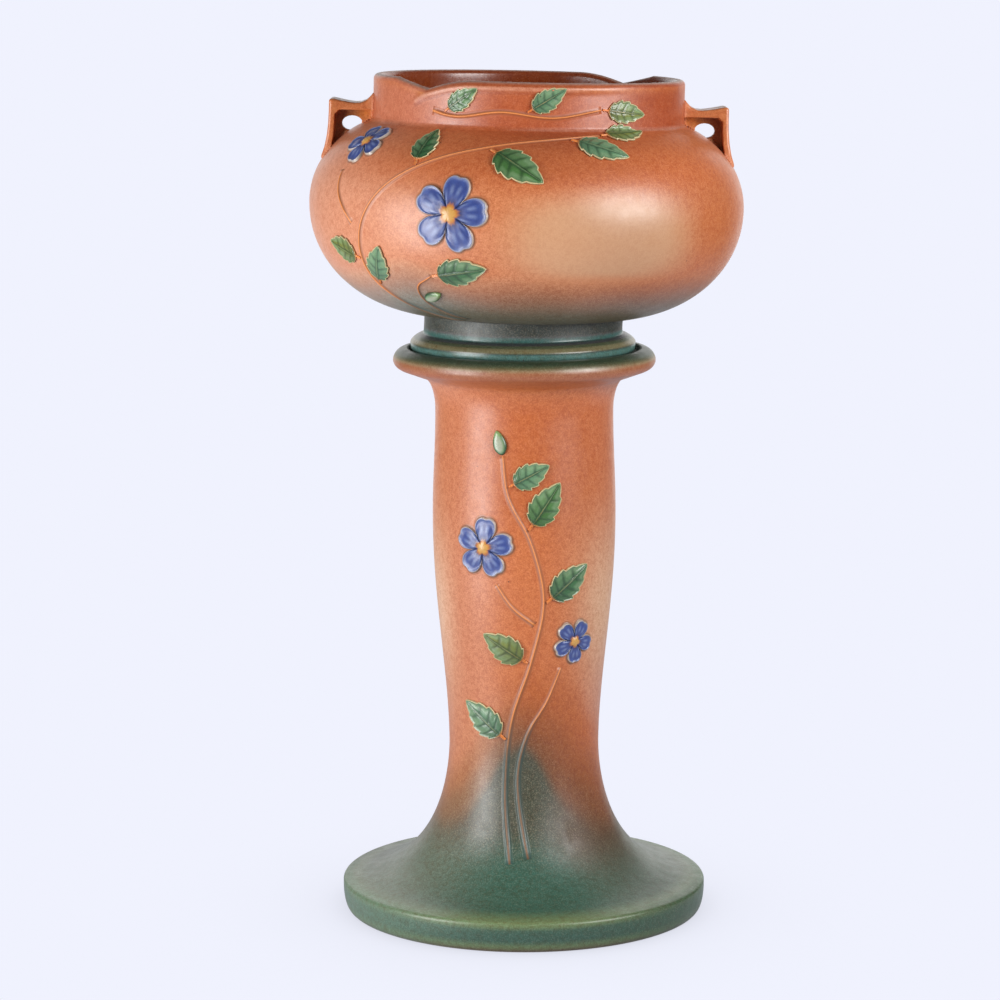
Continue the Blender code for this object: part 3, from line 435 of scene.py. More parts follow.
def bands(x, *stops):
    """Colours read from (place, colour) stops."""
    at = [stop[0] for stop in stops]
    return np.stack([np.interp(x, at, [stop[1][c] for stop in stops]) for c in range(3)], -1)


def waves(azimuth, height, seed):
    """A slow, even unsteadiness, about -1 to 1, for the borders that an airbrush leaves."""
    return (
        np.sin(3 * azimuth + 31 * height + seed)
        + 0.7 * np.sin(7 * azimuth - 53 * height + 2.3 * seed)
        + 0.5 * np.sin(13 * azimuth + 97 * height + 4.1 * seed)
    ) / 2.2


def both_faces(paint, azimuth, *places):
    """Colour and fleck of front and back alike, with the two edges of a face blended where they meet."""
    front = (np.degrees(azimuth) + 90) % 180 - 90
    colour, fleck = paint(front, azimuth, *places)
    other_colour, other_fleck = paint(-front, azimuth, *places)
    share = 0.5 * smoothstep(68, 90, np.abs(front))
    return mix(colour, other_colour, share), fleck + (other_fleck - fleck) * share


def bowl_glaze(azimuth, height):
    """Colour and amount of pale fleck on the bowl's outside."""
    return both_faces(bowl_face, azimuth, height)


def bowl_face(front, azimuth, height):
    """One face: front is in degrees from its middle, positive to its right."""
    up = height - BELLY_Z
    wave = waves(azimuth, height, 1.0)
    colour = mix(TERRACOTTA, DEEP_ORANGE, smoothstep(6, 50, front))
    colour = mix(colour, SIDE_TERRACOTTA, smoothstep(58, 90, np.abs(front)))
    # Painted sheen: pale pink on the left of each face.
    colour = mix(colour, LEFT_SHEEN_PINK, bump(front, -66, 30))
    for tint, rise, waviness, spread in SHOULDER_TINTS:
        colour = mix(colour, tint, smoothstep(*rise, up + waviness * wave) * bump(front, *spread))
    across, above = (
        np.abs((at - middle) / half) ** PATCH_POWER
        for at, middle, half in zip((front, up), PATCH_MIDDLE, PATCH_HALF)
    )
    patch = 1 - smoothstep(*PATCH_FADE, (across + above) ** (1 / PATCH_POWER) + 0.04 * wave)
    colour = mix(colour, mix(CREAM, DEEP_CREAM, smoothstep(2, 32, front)), patch)
    low = up + 0.0025 * wave - 0.011 * bump(front, -35, 13) + 0.006 * bump(front, -64, 18)
    plain = bands(low, *UNDER)
    under = plain * mix((1.0, 1.0, 1.0), UNDER_RIGHT, smoothstep(14, 40, front))
    # Painted sheen: a pale tint added low on the left of the belly.
    pink = bump(front, -62, 40) * smoothstep(-0.090, -0.070, up)
    under = under + np.asarray(UNDER_LEFT_SHEEN) * pink[:, None]
    under = mix(under, plain, smoothstep(78, 90, np.abs(front)))
    colour = mix(colour, under, smoothstep(-0.043, -0.054, low))
    neck = mix(NECK, NECK_PALE, smoothstep(-12, -50, front))
    neck = mix(neck, NECK_RIGHT, smoothstep(20, 50, front))
    neck = mix(neck, NECK, smoothstep(70, 90, np.abs(front)))
    colour = mix(colour, neck, smoothstep(NECK_FOOT_Z - 0.003, NECK_FOOT_Z + 0.002, height))
    foot_share = 1 - smoothstep(WAIST_TOP_Z, WAIST_TOP_Z + 0.003, height)
    colour = mix(colour, bands(height, *FOOT_BANDS), foot_share)
    green = smoothstep(-0.048, -0.078, low)
    green = np.maximum(green, 1 - smoothstep(WAIST_TOP_Z, WAIST_TOP_Z + 0.01, height))
    foot_fleck = 0.14 + 0.50 * smoothstep(0.0225, 0.0245, height)
    return colour, np.where(height < WAIST_TOP_Z, foot_fleck, green - patch)


def pedestal_glaze(azimuth, height, radius):
    """Colour and amount of pale fleck on the pedestal's outside."""
    return both_faces(pedestal_face, azimuth, height, radius)


def pedestal_face(front, azimuth, height, radius):
    """One face: front is in degrees from its middle, positive to its right."""
    wave = waves(azimuth, height, 2.0)
    colour = mix(SHAFT, SIDE_TERRACOTTA, smoothstep(30, 66, np.abs(front)))
    # Painted sheen: paler on the left of the shaft.
    colour = mix(colour, SHAFT_LEFT_SHEEN, bump(front, -66, 40))
    upper = smoothstep(0.325, 0.385, height + 0.006 * wave) * (1 - smoothstep(0.450, 0.474, height))
    colour = mix(colour, SHAFT_TOP, upper * bump(front, 18, 60))
    waist = bump(height, 0.278, 0.068)
    # Cream glaze with painted sheen at the left edge of the shaft.
    colour = mix(colour, LEFT_CREAM_AND_SHEEN, waist * smoothstep(-42, -74, front))
    colour = mix(colour, SIDE_CREAM, waist * smoothstep(18, 66, front - 60 * (0.27 - height)))
    foot = 0.070 + 0.080 * bump(front, -4, 30)
    top = 0.152 + 0.078 * bump(front, 8, 56)
    share = (height + 0.004 * wave - foot) / (top - foot)
    left = smoothstep(8, -40, front)
    dark = mix(PLUME, PLUME_SIDE, smoothstep(-24, -60, front))
    dark = mix(dark, PLUME_BROWN, smoothstep(12, 36, front))
    for step, right_tint, left_tint in zip(PLUME_STEPS, PLUME_RIGHT, PLUME_LEFT):
        dark = mix(dark, mix(right_tint, left_tint, left), smoothstep(*step, share))
    colour = mix(dark, colour, smoothstep(*PLUME_END, share))
    green = 1 - smoothstep(0.0, 0.9, share)
    left = smoothstep(-6, -56, front)
    paleness = np.maximum(left, 0.75 * smoothstep(14, 60, front))
    plate = mix(BASE_TEAL, BASE_PALE, paleness)
    drop = 0.014 * smoothstep(8, 36, front)
    plate_z = smoothstep(0.092, 0.052, height + drop)
    plate = mix(plate, BASE_RIGHT, smoothstep(20, 60, front))
    colour = mix(colour, plate, np.maximum(smoothstep(0.096, 0.124, radius), plate_z))
    lip = smoothstep(0.135, 0.155, radius) * (height > 0.02)
    colour = mix(colour, mix(BASE_GREEN, BASE_LIP, paleness), 0.8 * lip)
    edge = mix(bands(height, *BASE_BANDS), BASE_RIM_LEFT, 0.7 * left)
    edge = mix(edge, SIDE_DARK, 0.8 * smoothstep(10, 60, front))
    colour = mix(colour, edge, smoothstep(0.146, 0.156, radius) * (1 - smoothstep(0.027, 0.029, height)))
    collar = bands(height, *((COLLAR_Z + rise, tint) for rise, tint in COLLAR_BANDS))
    colour = mix(colour, collar, smoothstep(COLLAR_Z - 0.014, COLLAR_Z - 0.008, height))
    return colour, green * smoothstep(0.030, 0.090, height) * (height < COLLAR_Z)


# Grain, flecks, sheen, bump and pits: how many to a metre
SPECK_SCALE, COARSE_SCALE, FLECK_SCALE = 900.0, 260.0, 1000.0
SHEEN_SCALE, BUMP_SCALE, PIT_SCALE = 90.0, 420.0, 74.0
PIT_SIZE, PIT_CHOICE = 0.050, (0.84, 0.87)


def add_node(tree, kind, output, inputs, **settings):
    """Adds a node and gives one of its outputs. Its inputs are values, or other nodes' outputs."""
    node = tree.nodes.new(f"ShaderNode{kind}")
    for name, value in settings.items():
        setattr(node, name, value)
    for key, value in inputs.items():
        feed(tree, node.inputs[key], value)
    return node.outputs[output] if node.outputs else None


def feed(tree, socket, value):
    if isinstance(value, bpy.types.NodeSocket):
        tree.links.new(value, socket)
    else:
        socket.default_value = value


def ranged(add, value, low, high, to_low=0.0, to_high=1.0):
    """A value moved from one range to another, and held at the new range's ends."""
    inputs = {"Value": value, "From Min": low, "From Max": high, "To Min": to_low, "To Max": to_high}
    return add("MapRange", "Result", inputs)


def glaze(name, roughness, grain, bump_depth):
    """A satin glaze: the colour painted on the points, with mottling, grain, flecks, pits and a fine bump.

    The Fleck attribute adds tan flecks above 0 and calms the grain below 0, and Gloss sets the roughness.
    """
    material = bpy.data.materials.new(name)
    material.use_nodes = True
    tree = material.node_tree
    add = partial(add_node, tree)
    to = partial(ranged, add)
    coords = add("TexCoord", "Object", {})

    def attribute(label, output):
        return add("Attribute", output, {}, attribute_name=label)

    def noise(scale, detail):
        return add("TexNoise", "Fac", {"Vector": coords, "Scale": scale, "Detail": detail})

    def times(a, b):
        return add("Math", 0, {0: a, 1: b}, operation="MULTIPLY")

    def mixed(kind, share, a, b):
        return add("Mix", 2, {0: share, 6: a, 7: b}, data_type="RGBA", blend_type=kind)

    speck, coarse = noise(SPECK_SCALE, 2.5), noise(COARSE_SCALE, 3.0)
    spread = attribute("Fleck", "Fac")
    plenty = to(spread, -1.0, 0.0, 0.30, 1.0)
    grains = (speck, 0.50, 0.66, 1.7), (speck, 0.48, 0.32, 0.17), (coarse, 0.42, 0.68, 1.6)
    dark, pale, cloud = (
        times(plenty, to(source, low, high, 0.0, grain * strength))
        for source, low, high, strength in grains
    )
    colour = mixed("MULTIPLY", dark, attribute("Tint", "Color"), GRAIN_DARK)
    colour = mixed("ADD", pale, colour, GRAIN_PALE)
    colour = mixed("MULTIPLY", cloud, colour, GRAIN_DARK)
    flecks = times(to(spread, 0.0, 1.0), to(noise(FLECK_SCALE, 2.0), 0.53, 0.66, 0.0, 0.75))
    colour = mixed("ADD", flecks, colour, FLECK_TAN)
    # Small round pits in the few cells whose own random colour is high enough
    cells = tree.nodes.new("ShaderNodeTexVoronoi")
    for key, value in (("Vector", coords), ("Scale", PIT_SCALE)):
        feed(tree, cells.inputs[key], value)
    chosen = to(add("SeparateColor", 0, {0: cells.outputs["Color"]}), *PIT_CHOICE)
    pits = times(to(cells.outputs["Distance"], PIT_SIZE, PIT_SIZE * 0.6), chosen)
    rough = times(
        to(attribute("Gloss", "Fac"), -1.0, 1.0, 1.7, 0.30),
        to(noise(SHEEN_SCALE, 3.0), 0.3, 0.7, roughness * 0.88, roughness * 1.12),
    )
    fine = {"Strength": 0.6, "Distance": bump_depth, "Height": noise(BUMP_SCALE, 3.0)}
    shader = tree.nodes["Principled BSDF"]
    for key, value in (
        ("Base Color", mixed("MIX", pits, colour, SPOT_DARK)),
        ("Roughness", rough),
        ("Normal", add("Bump", 0, fine)),
        ("Specular IOR Level", 0.75),
    ):
        feed(tree, shader.inputs[key], value)
    return material


# The two turned bodies


WORN_BAND = 0.082, 0.035  # matt band low on the flare, to the right
LIP_STEP = 15.0  # degrees of the lip's arc between its rows


def make_pedestal(material):
    hollow, outer, seat = pedestal_outline()
    azimuth, r, z, row, faces = turn(hollow + outer + seat)
    colour, fleck = pedestal_glaze(azimuth, z, r)
    inside, on_seat = row < len(hollow), row >= len(hollow) + len(outer)
    colour[inside], colour[on_seat] = CLAY, COLLAR_GREEN
    turned = (azimuth + np.pi / 2) % np.pi - np.pi / 2
    worn = bump(z, *WORN_BAND) * smoothstep(0.0, 0.45, turned) * (1 - smoothstep(1.1, 1.5, turned))
    gloss = np.where(inside, 0.0, smoothstep(COLLAR_Z - 0.02, COLLAR_Z, z) * 0.10 - 0.5 * worn)
    gloss[on_seat] = -1.0
    look = "pedestal", "pedestal", "pedestal_glaze", material
    paint = {"Tint": colour, "Fleck": np.where(inside, 0, fleck), "Gloss": gloss}
    new_object("pedestal_turned", xyz(azimuth, r, z), faces, *look, **paint)


def make_bowl(material):
    under, outer, lip, inner = bowl_outline()
    azimuth, r, z, row, faces = turn(under + outer + lip + inner)
    colour, fleck = bowl_glaze(azimuth, z)
    first_lip = len(under) + len(outer)
    deg = np.degrees(azimuth)
    past = (deg - NOTCH_AZIMUTH + BEFORE_NOTCH) % 180 - BEFORE_NOTCH
    rolled = smoothstep(-8, -2, past) * (1 - smoothstep(60, 100, past))
    edge = bump(RIM_Z - z, 0.0045, 0.0035) * (row < first_lip)
    colour = mix(colour, EDGE_ORANGE, edge * (0.35 + 0.55 * rolled))
    crease = bump(z, NECK_FOOT_Z + 0.0006, 0.0008) * (r > NECK_RADIUS - 0.001) * (r < NECK_RADIUS + 0.003)
    colour = mix(colour, EDGE_GREY, 0.5 * crease * smoothstep(-15, 5, (deg + 90) % 180 - 90))
    lip_deg = (row - first_lip + 1) * LIP_STEP
    colour = mix(colour, EDGE_GREY, 0.8 * smoothstep(34, 62, lip_deg))
    lifted = shape_neck(deg, r, z)[1]
    ridge, groove = (roll_out(deg, lifted + drop) / ROLL_OUT for drop in (0.0, 1.5 * ROLL_HALF))
    # Painted highlight along the crest of the roll.
    colour = mix(colour, ROLL_HIGHLIGHT, 0.75 * smoothstep(0.6, 1.0, ridge) * (row < first_lip + 2))
    # Painted shade in the groove under the roll.
    colour = mix(colour, DARK_SHOULDER, 0.75 * smoothstep(0.5, 0.95, groove) * (row < first_lip))
    inside, bottom = row >= first_lip + 8, row < len(under)
    colour[inside], colour[bottom] = INTERIOR, CLAY
    above = smoothstep(WAIST_FOOT_Z, WAIST_FOOT_Z + 0.004, z)
    gloss = np.where(z < WAIST_TOP_Z, 0.35 - 0.70 * above, np.where(inside, 0.45, 0))
    r, z = shape_neck(deg, r, z)
    points = placed(level_foot(xyz(azimuth, r, z)), BOWL_PLACE)
    look = "jardiniere", "jardiniere_bowl", "terracotta", material
    paint = {"Tint": colour, "Fleck": np.where(inside | bottom, 0, fleck), "Gloss": gloss}
    new_object("bowl_turned", points, faces, *look, **paint)


# Relief. Heights run along the side, from 0 at its widest or narrowest ring to 1 at its top and -1 at its
# foot, and lengths and widths are shares of its upper length.

RELIEF_GAP = 0.0009
STEM_WIDTH, STEM_TAPER = 0.0032, 0.45
# Stems: points to each stretch of curve, then its points as azimuth and height
BOWL_STEMS = (
    (5, (
        (-26, -0.831), (-40, -0.641), (-49, -0.379), (-48, -0.092), (-40, 0.179), (-26, 0.389), (-8, 0.523),
        (10, 0.598), (24, 0.643),
    )),
    (3, ((-23, -0.785), (-32, -0.589), (-33, -0.432), (-27, -0.340))),
    (3, ((-51.5, -0.065), (-58, 0.105), (-60, 0.254))),
    (4, ((-37, 0.807), (-26, 0.778), (-10, 0.815), (8, 0.785), (26, 0.837))),
)
PEDESTAL_STEMS = (
    (4, (
        (-8, -0.560), (-14, -0.177), (-10, 0.100), (4, 0.284), (12, 0.468), (4, 0.642), (-10, 0.776),
        (-14, 0.897),
    )),
    (3, ((2, -0.530), (-5, -0.130), (2, 0.067), (16, 0.167), (26, 0.268))),
    (3, ((6.5, 0.402), (-8, 0.455), (-18, 0.522))),
)
# Leaves and buds: stem, share of the way along it, side, heading, length, width
BOWL_LEAVES = (
    (0, 0.22, 1, 22, 0.314, 0.180),
    (0, 0.31, -1, -72, 0.314, 0.187),
    (0, 0.58, -1, 2, 0.329, 0.194),
    (0, 0.72, 1, 128, 0.404, 0.224),
    (0, 0.90, 1, 118, 0.359, 0.202),
    (0, 1.0, 0, 84, 0.344, 0.180),
    (1, 1.0, 0, 78, 0.374, 0.209),
    (3, 0.14, -1, 56, 0.269, 0.142),
    (3, 0.60, -1, 58, 0.284, 0.150),
    (3, 1.0, 0, 96, 0.329, 0.157),
)
BOWL_BUDS = ((1, 0.42, 1, 60, 0.150, 0.082),)
PEDESTAL_LEAVES = (
    (0, 0.24, -1, -50, 0.167, 0.097),
    (0, 0.43, -1, -56, 0.154, 0.090),
    (0, 0.58, 1, 50, 0.167, 0.097),
    (0, 0.74, 1, 34, 0.167, 0.094),
    (0, 0.90, 1, 62, 0.134, 0.080),
)
PEDESTAL_BUDS = ((0, 1.0, 0, -14, 0.074, 0.040),)
# Blossoms: azimuth, height, size, turn
BOWL_BLOSSOMS = ((-20, 0.030, 0.493, 12), (-57, 0.478, 0.344, 40))
PEDESTAL_BLOSSOMS = ((-26, 0.629, 0.181, 6), (35, 0.345, 0.134, 30))


class Skin:
    """A turned outer side, addressed by azimuth from the front and distance up its outline."""

    def __init__(self, outline, zero_height, matrix, paint):
        self.r, self.z = np.array(outline).T
        steps = np.hypot(np.diff(self.r), np.diff(self.z))
        self.up = np.concatenate([[0.0], np.cumsum(steps)])
        self.zero = self.up[np.argmin(np.abs(self.z - zero_height))]
        self.up -= self.zero
        self.upper = self.up[-1]
        along = np.stack([np.gradient(self.r, self.up), np.gradient(self.z, self.up)])
        self.along = along / np.linalg.norm(along, axis=0)
        self.matrix = matrix
        self.paint = paint

    def place(self, azimuth, share):
        """The place at an azimuth and a share of the way to the top (above 0) or the foot (below 0)."""
        return azimuth, share * (self.upper if share > 0 else self.zero)

    def radius(self, up):
        return np.interp(up, self.up, self.r)

    def height(self, up):
        return np.interp(up, self.up, self.z)

    def point(self, azimuth, up, out):
        slope_r, slope_z = (np.interp(up, self.up, part) for part in self.along)
        r, z = self.radius(up) + out * slope_z, self.height(up) - out * slope_r
        return placed(xyz(azimuth, r, z), self.matrix)

    def single_point(self, place, out):
        return self.point(*(np.array([value]) for value in (*place, out)))[0]

    def ground(self, azimuth, up):
        return self.paint(azimuth, self.height(up), self.radius(up))

    def offset(self, place, right, above):
        return place[0] + right / self.radius(place[1]), place[1] + above


def smooth_curve(points, steps):
    """Catmull-Rom curve through 2D points."""
    p = np.array(points, float)
    p = np.vstack([2 * p[0] - p[1], p, 2 * p[-1] - p[-2]])
    curve = []
    for k in range(1, len(p) - 2):
        a, b, c, d = p[k - 1 : k + 3]
        for t in np.linspace(0, 1, steps, endpoint=False):
            square, cube = (2 * a - 5 * b + 4 * c - d) * t**2, (3 * b - a - 3 * c + d) * t**3
            curve.append(0.5 * (2 * b + (c - a) * t + square + cube))
    curve.append(p[-2])
    return np.array(curve)


def direction(skin, before, after):
    across = (after[0] - before[0]) * skin.radius((before[1] + after[1]) / 2)
    up = after[1] - before[1]
    length = math.hypot(across, up)
    return across / length, up / length


def beside(skin, path, share, side):
    """A place just off a stem: on its left (-1), on its right (1) or beyond its end (0)."""
    if side == 0:
        across, up = direction(skin, path[-2], path[-1])
        return skin.offset(path[-1], across * RELIEF_GAP, up * RELIEF_GAP)
    i = min(max(round(share * (len(path) - 1)), 1), len(path) - 2)
    across, up = direction(skin, path[i - 1], path[i + 1])
    step = side * (STEM_WIDTH / 2 + RELIEF_GAP)
    return skin.offset(path[i], up * step, -across * step)


# Round a moulded piece: how far outside its outline, height and share of the dark halo
SKIRT = ((0.0034, -0.0003, 0.0), (0.0024, 0.00006, 0.15), (0.0013, 0.00012, 0.7), (0.0005, 0.00015, 1.0))
BACK_DEPTH, VEIN_DEPTH = 0.002, 0.00035


def relief_patch(name, skin, place, outline, target, rings, gloss, *look):
    """A moulded piece: rings run from a skirt on the ground, up over its outline and in to a target line.

    outline and target are (across, up) points round it, and rings gives (inside, share, height, colour):
    how far inside the outline at most, at what share of the way to the target, and its height and colour.
    """
    count = len(outline)
    tangent = np.roll(outline, -1, 0) - np.roll(outline, 1, 0)
    tangent /= np.linalg.norm(tangent, axis=1)[:, None]
    normal = np.stack([tangent[:, 1], -tangent[:, 0]], 1)
    inward = target - outline
    reach = np.maximum(np.linalg.norm(inward, axis=1)[:, None], ON_AXIS)
    layers = [
        (outline + normal * outside, height, HALO, dark * HALO_SHARE) for outside, height, dark in SKIRT
    ]
    for inside, share, height, colour in rings:
        layers.append((outline + inward * np.minimum(inside / reach, share), height, colour, 1.0))
    flat, heights, own, share_own = (
        np.concatenate([np.broadcast_to(part, shape).astype(float) for part in parts])
        for parts, shape in zip(zip(*layers), ((count, 2), count, (count, 3), count))
    )
    azimuth, up = place[0] + flat[:, 0] / skin.radius(place[1]), place[1] + flat[:, 1]
    ground, fleck = skin.ground(azimuth, up)
    colour = mix(ground, own, share_own)
    faces = grid_faces(len(layers), count)
    last = (len(layers) - 1) * count
    middle = skin.offset(place, *flat[-count:].mean(0))
    ends = [skin.single_point(middle, out) for out in (heights[last], -BACK_DEPTH)]
    points = np.vstack([skin.point(azimuth, up, heights), ends])
    hub, back = len(points) - 2, len(points) - 1
    faces += [(last + i, last + (i + 1) % count, hub) for i in range(count)]
    faces += [((i + 1) % count, i, back) for i in range(count)]
    paint = {
        "Tint": np.vstack([colour, colour[last], colour[0]]),
        "Fleck": np.concatenate([fleck * (1 - share_own), [0, 0]]),
        "Gloss": np.concatenate([share_own * gloss, [gloss, 0]]),
    }
    new_object(name, points, faces, *look, **paint)


def turned_by(points, heading_deg):
    """Leaf points (across, along) turned to (across, up) by a heading measured from up to the right."""
    sine, cosine = math.sin(math.radians(heading_deg)), math.cos(math.radians(heading_deg))
    across, along = points[:, 0], points[:, 1]
    return np.stack([along * sine + across * cosine, along * cosine - across * sine], 1)


def mirrored(half, along):
    """An outline up its left side and down its right, from half widths on the way from foot to tip."""
    left = np.stack([-half[1:-1], along[1:-1]], 1)[::-1]
    return np.vstack([np.stack([half, along], 1), left])[::-1]


def both_sides(values):
    """Values on the way from foot to tip, in the order of a mirrored outline."""
    return np.concatenate([values, values[1:-1][::-1]])[::-1]


LEAF_POINTS, LEAF_TEETH, STALK = 84, 5, 0.12
LEAF_SKEW, LEAF_FULLNESS, TOOTH_SKEW, TOOTH_DEPTH, STALK_HALF, VEIN_SLANT = 0.72, 0.8, 0.9, 0.2, 0.085, 0.14
BUD_POINTS, BUD_SKEW, BUD_FULLNESS, BUD_CREST = 36, 0.8, 0.7, (0.25, 0.75)


def leaf_shape(length, width):
    """A toothed leaf on a short stalk: outline, the midrib point each part leads to, vein and place."""
    u = np.linspace(0, 1, LEAF_POINTS)
    b = np.clip((u - STALK) / (1 - STALK), 0, 1)
    blade = np.sin(np.pi * b**LEAF_SKEW) ** LEAF_FULLNESS
    tooth = (LEAF_TEETH * b**TOOTH_SKEW) % 1
    saw = tooth**0.8 * (1 - smoothstep(0.80, 1.0, tooth))
    half = width / 2 * np.maximum(blade * (0.84 + TOOTH_DEPTH * saw), STALK_HALF * (1 - 0.4 * u))
    half[-1] = 0
    along = u + 0.025 * saw * smoothstep(0.1, 0.4, b) * (1 - b)
    vein = bump(tooth, 0.66, 0.16) * smoothstep(0.0, 0.1, b) * (1 - smoothstep(0.85, 1.0, b))
    root = np.where(u <= STALK, u, np.maximum(STALK, u - VEIN_SLANT * np.sin(np.pi * b)))
    midrib = both_sides(np.minimum(root, 0.93)) * length
    target = np.stack([np.zeros(len(midrib)), midrib], 1)
    return mirrored(half, along * length), target, both_sides(vein), both_sides(u)


def leaf_rings(veins, place, green):
    """Rings across a leaf: a cream margin, a dished blade with dark veins, and a raised midrib."""
    count = len(place)
    blade = smoothstep(STALK - 0.02, STALK + 0.08, place)
    half = np.where(np.arange(count) < count / 2, 0.30, 0.0)
    pool = 1 - smoothstep(0.15, 0.75, place)
    shade = mix(LEAF_DARK, green, 0.25)
    green = mix(mix(green, LEAF_TIP, half), shade, 0.55 * pool)
    light = mix(green, LEAF_TIP, 0.55 * (1 - pool))

    def ring(inside, share, height, base, vein_share):
        colour = mix(mix(STEM_ORANGE, base, blade), shade, vein_share * veins * blade)
        return inside, share, height * (0.6 + 0.4 * blade) - VEIN_DEPTH * veins * vein_share * blade, colour

    return [
        ring(0.0, 0.0, 0.0007, mix(LEAF_EDGE, HALO, 0.3), 0.0),
        ring(0.0004, 0.10, 0.0018, LEAF_EDGE, 0.0),
        ring(0.0008, 0.20, 0.0020, LEAF_EDGE, 0.0),
        ring(0.0014, 0.32, 0.0016, mix(light, shade, 0.25 * (1 - veins)), 0.3),
        ring(0.0030, 0.46, 0.0014, light, 0.5),
        ring(0.0050, 0.56, 0.0017, light, 0.7),
        ring(0.0075, 0.66, 0.0020, green, 0.8),
        ring(0.0100, 0.76, 0.0021, green, 0.8),
        ring(0.0140, 0.86, 0.0019, mix(green, shade, 0.6), 0.8),
        ring(0.0200, 0.93, 0.0018, shade, 0.5),
        ring(0.0300, 0.985, 0.0026, light, 0.0),
    ]


def bud_shape(length, width):
    """A small pointed bud."""
    u = np.linspace(0, 1, BUD_POINTS)
    half = width / 2 * np.sin(np.pi * u**BUD_SKEW) ** BUD_FULLNESS
    half[0] = half[-1] = 0
    outline = mirrored(half, u * length)
    low, high = (share * length for share in BUD_CREST)
    target = np.stack([np.zeros(len(outline)), np.clip(outline[:, 1], low, high)], 1)
    return outline, target, outline[:, 1] / length


def bud_rings(place):
    body = mix(BUD_GREEN, BUD_TIP, smoothstep(0.55, 0.95, place))
    return [
        (0.0, 0.0, 0.0008, mix(body, HALO, 0.4)),
        (0.0004, 0.12, 0.0019, body),
        (0.0010, 0.30, 0.0026, body),
        (0.0020, 0.60, 0.0031, mix(body, BUD_PALE, 0.5)),
        (0.0040, 0.95, 0.0034, mix(body, BUD_CREAM, 0.6)),
    ]


PETALS, PETAL_POINTS, FULL_BLOSSOM = 5, 26, 0.066


def blossom_shape(size, turn_deg):
    """Five round petals: outline, the heart that they lead to, and each point's place across its petal."""
    count = PETALS * PETAL_POINTS
    a = np.arange(count) / count * 2 * np.pi
    across = ((a * PETALS / (2 * np.pi) + 0.5) % 1 - 0.5) * 2
    lobe = (1 - np.abs(across) ** 2.6) ** 0.75
    radius = size / 2 * (0.40 + 0.60 * lobe - 0.05 * bump(across, 0, 0.16))
    angle = a + math.radians(turn_deg)
    outline = np.stack([radius * np.sin(angle), radius * np.cos(angle)], 1)[::-1]
    heart = np.stack([np.sin(angle), np.cos(angle)], 1)[::-1] * size * 0.07
    return outline, heart, across[::-1]


def blossom_rings(across, size):
    """Rings across a blossom: pale rolled petal edges, blue hollows with darker veins, a bright heart."""
    veins = 0.5 + 0.5 * np.cos(across * np.pi * 4)
    cleft = smoothstep(0.72, 1.0, np.abs(across))
    blue = mix(PETAL_BLUE, PETAL_VEIN, 0.5 * veins)
    pale = mix(PETAL_PALE, PETAL_BLUE, 0.35 * veins)
    dark = mix(blue, PETAL_DARK, 0.9 * cleft)
    between = (1 - veins) * (1 - cleft)
    k = size / FULL_BLOSSOM
    return [
        (0.0, 0.0, 0.0008, mix(PETAL_EDGE, HALO, 0.35)),
        (0.0005, 0.04, 0.0020 - 0.0004 * cleft, mix(PETAL_EDGE, blue, 0.2)),
        (0.0009, 0.08, 0.0024 - 0.0005 * cleft, mix(PETAL_EDGE, pale, 0.6)),
        (0.0021 * k, 0.14, 0.0019 - 0.0006 * cleft, mix(blue, pale, 0.45)),
        (0.0042 * k, 0.24, 0.0015 - 0.0007 * cleft, dark),
        (0.0072 * k, 0.36, 0.0016 - 0.0009 * cleft, dark),
        (0.0105 * k, 0.48, 0.0020 - 0.0011 * cleft, mix(dark, pale, 0.5 * between)),
        (0.0140 * k, 0.60, 0.0023 - 0.0012 * cleft, mix(dark, pale, 0.7 * between)),
        (0.0180 * k, 0.72, 0.0024 - 0.0010 * cleft, dark),
        (0.0220 * k, 0.84, 0.0020, HEART_BLUE),
        (0.0260 * k, 0.92, 0.0024, HEART_ORANGE),
        (0.0330 * k, 0.99, 0.0034, HEART_YELLOW),
    ]


STEM_COLUMNS, STEM_DEPTH, STEM_MATT = 12, 0.0015, -0.5
LEAF_GLOSS, BUD_GLOSS, BLOSSOM_GLOSS = 0.35, 0.4, 0.35


def stem_profile(half):
    """(across, height) points over a stem: its left foot on the ground, its ridge and its right foot."""
    feet = ((0.0030, -0.0003), (0.0020, 0.00006), (0.0009, 0.0001), (0.0, 0.0002))
    ground = tuple((-half - beyond, out) for beyond, out in feet)
    crests = ((-0.55, 0.0012), (-0.2, 0.0019), (0.2, 0.0019), (0.55, 0.0012))
    ridge = tuple((share * half, out) for share, out in crests)
    return ground + ridge + tuple((-x, out) for x, out in ground[::-1])


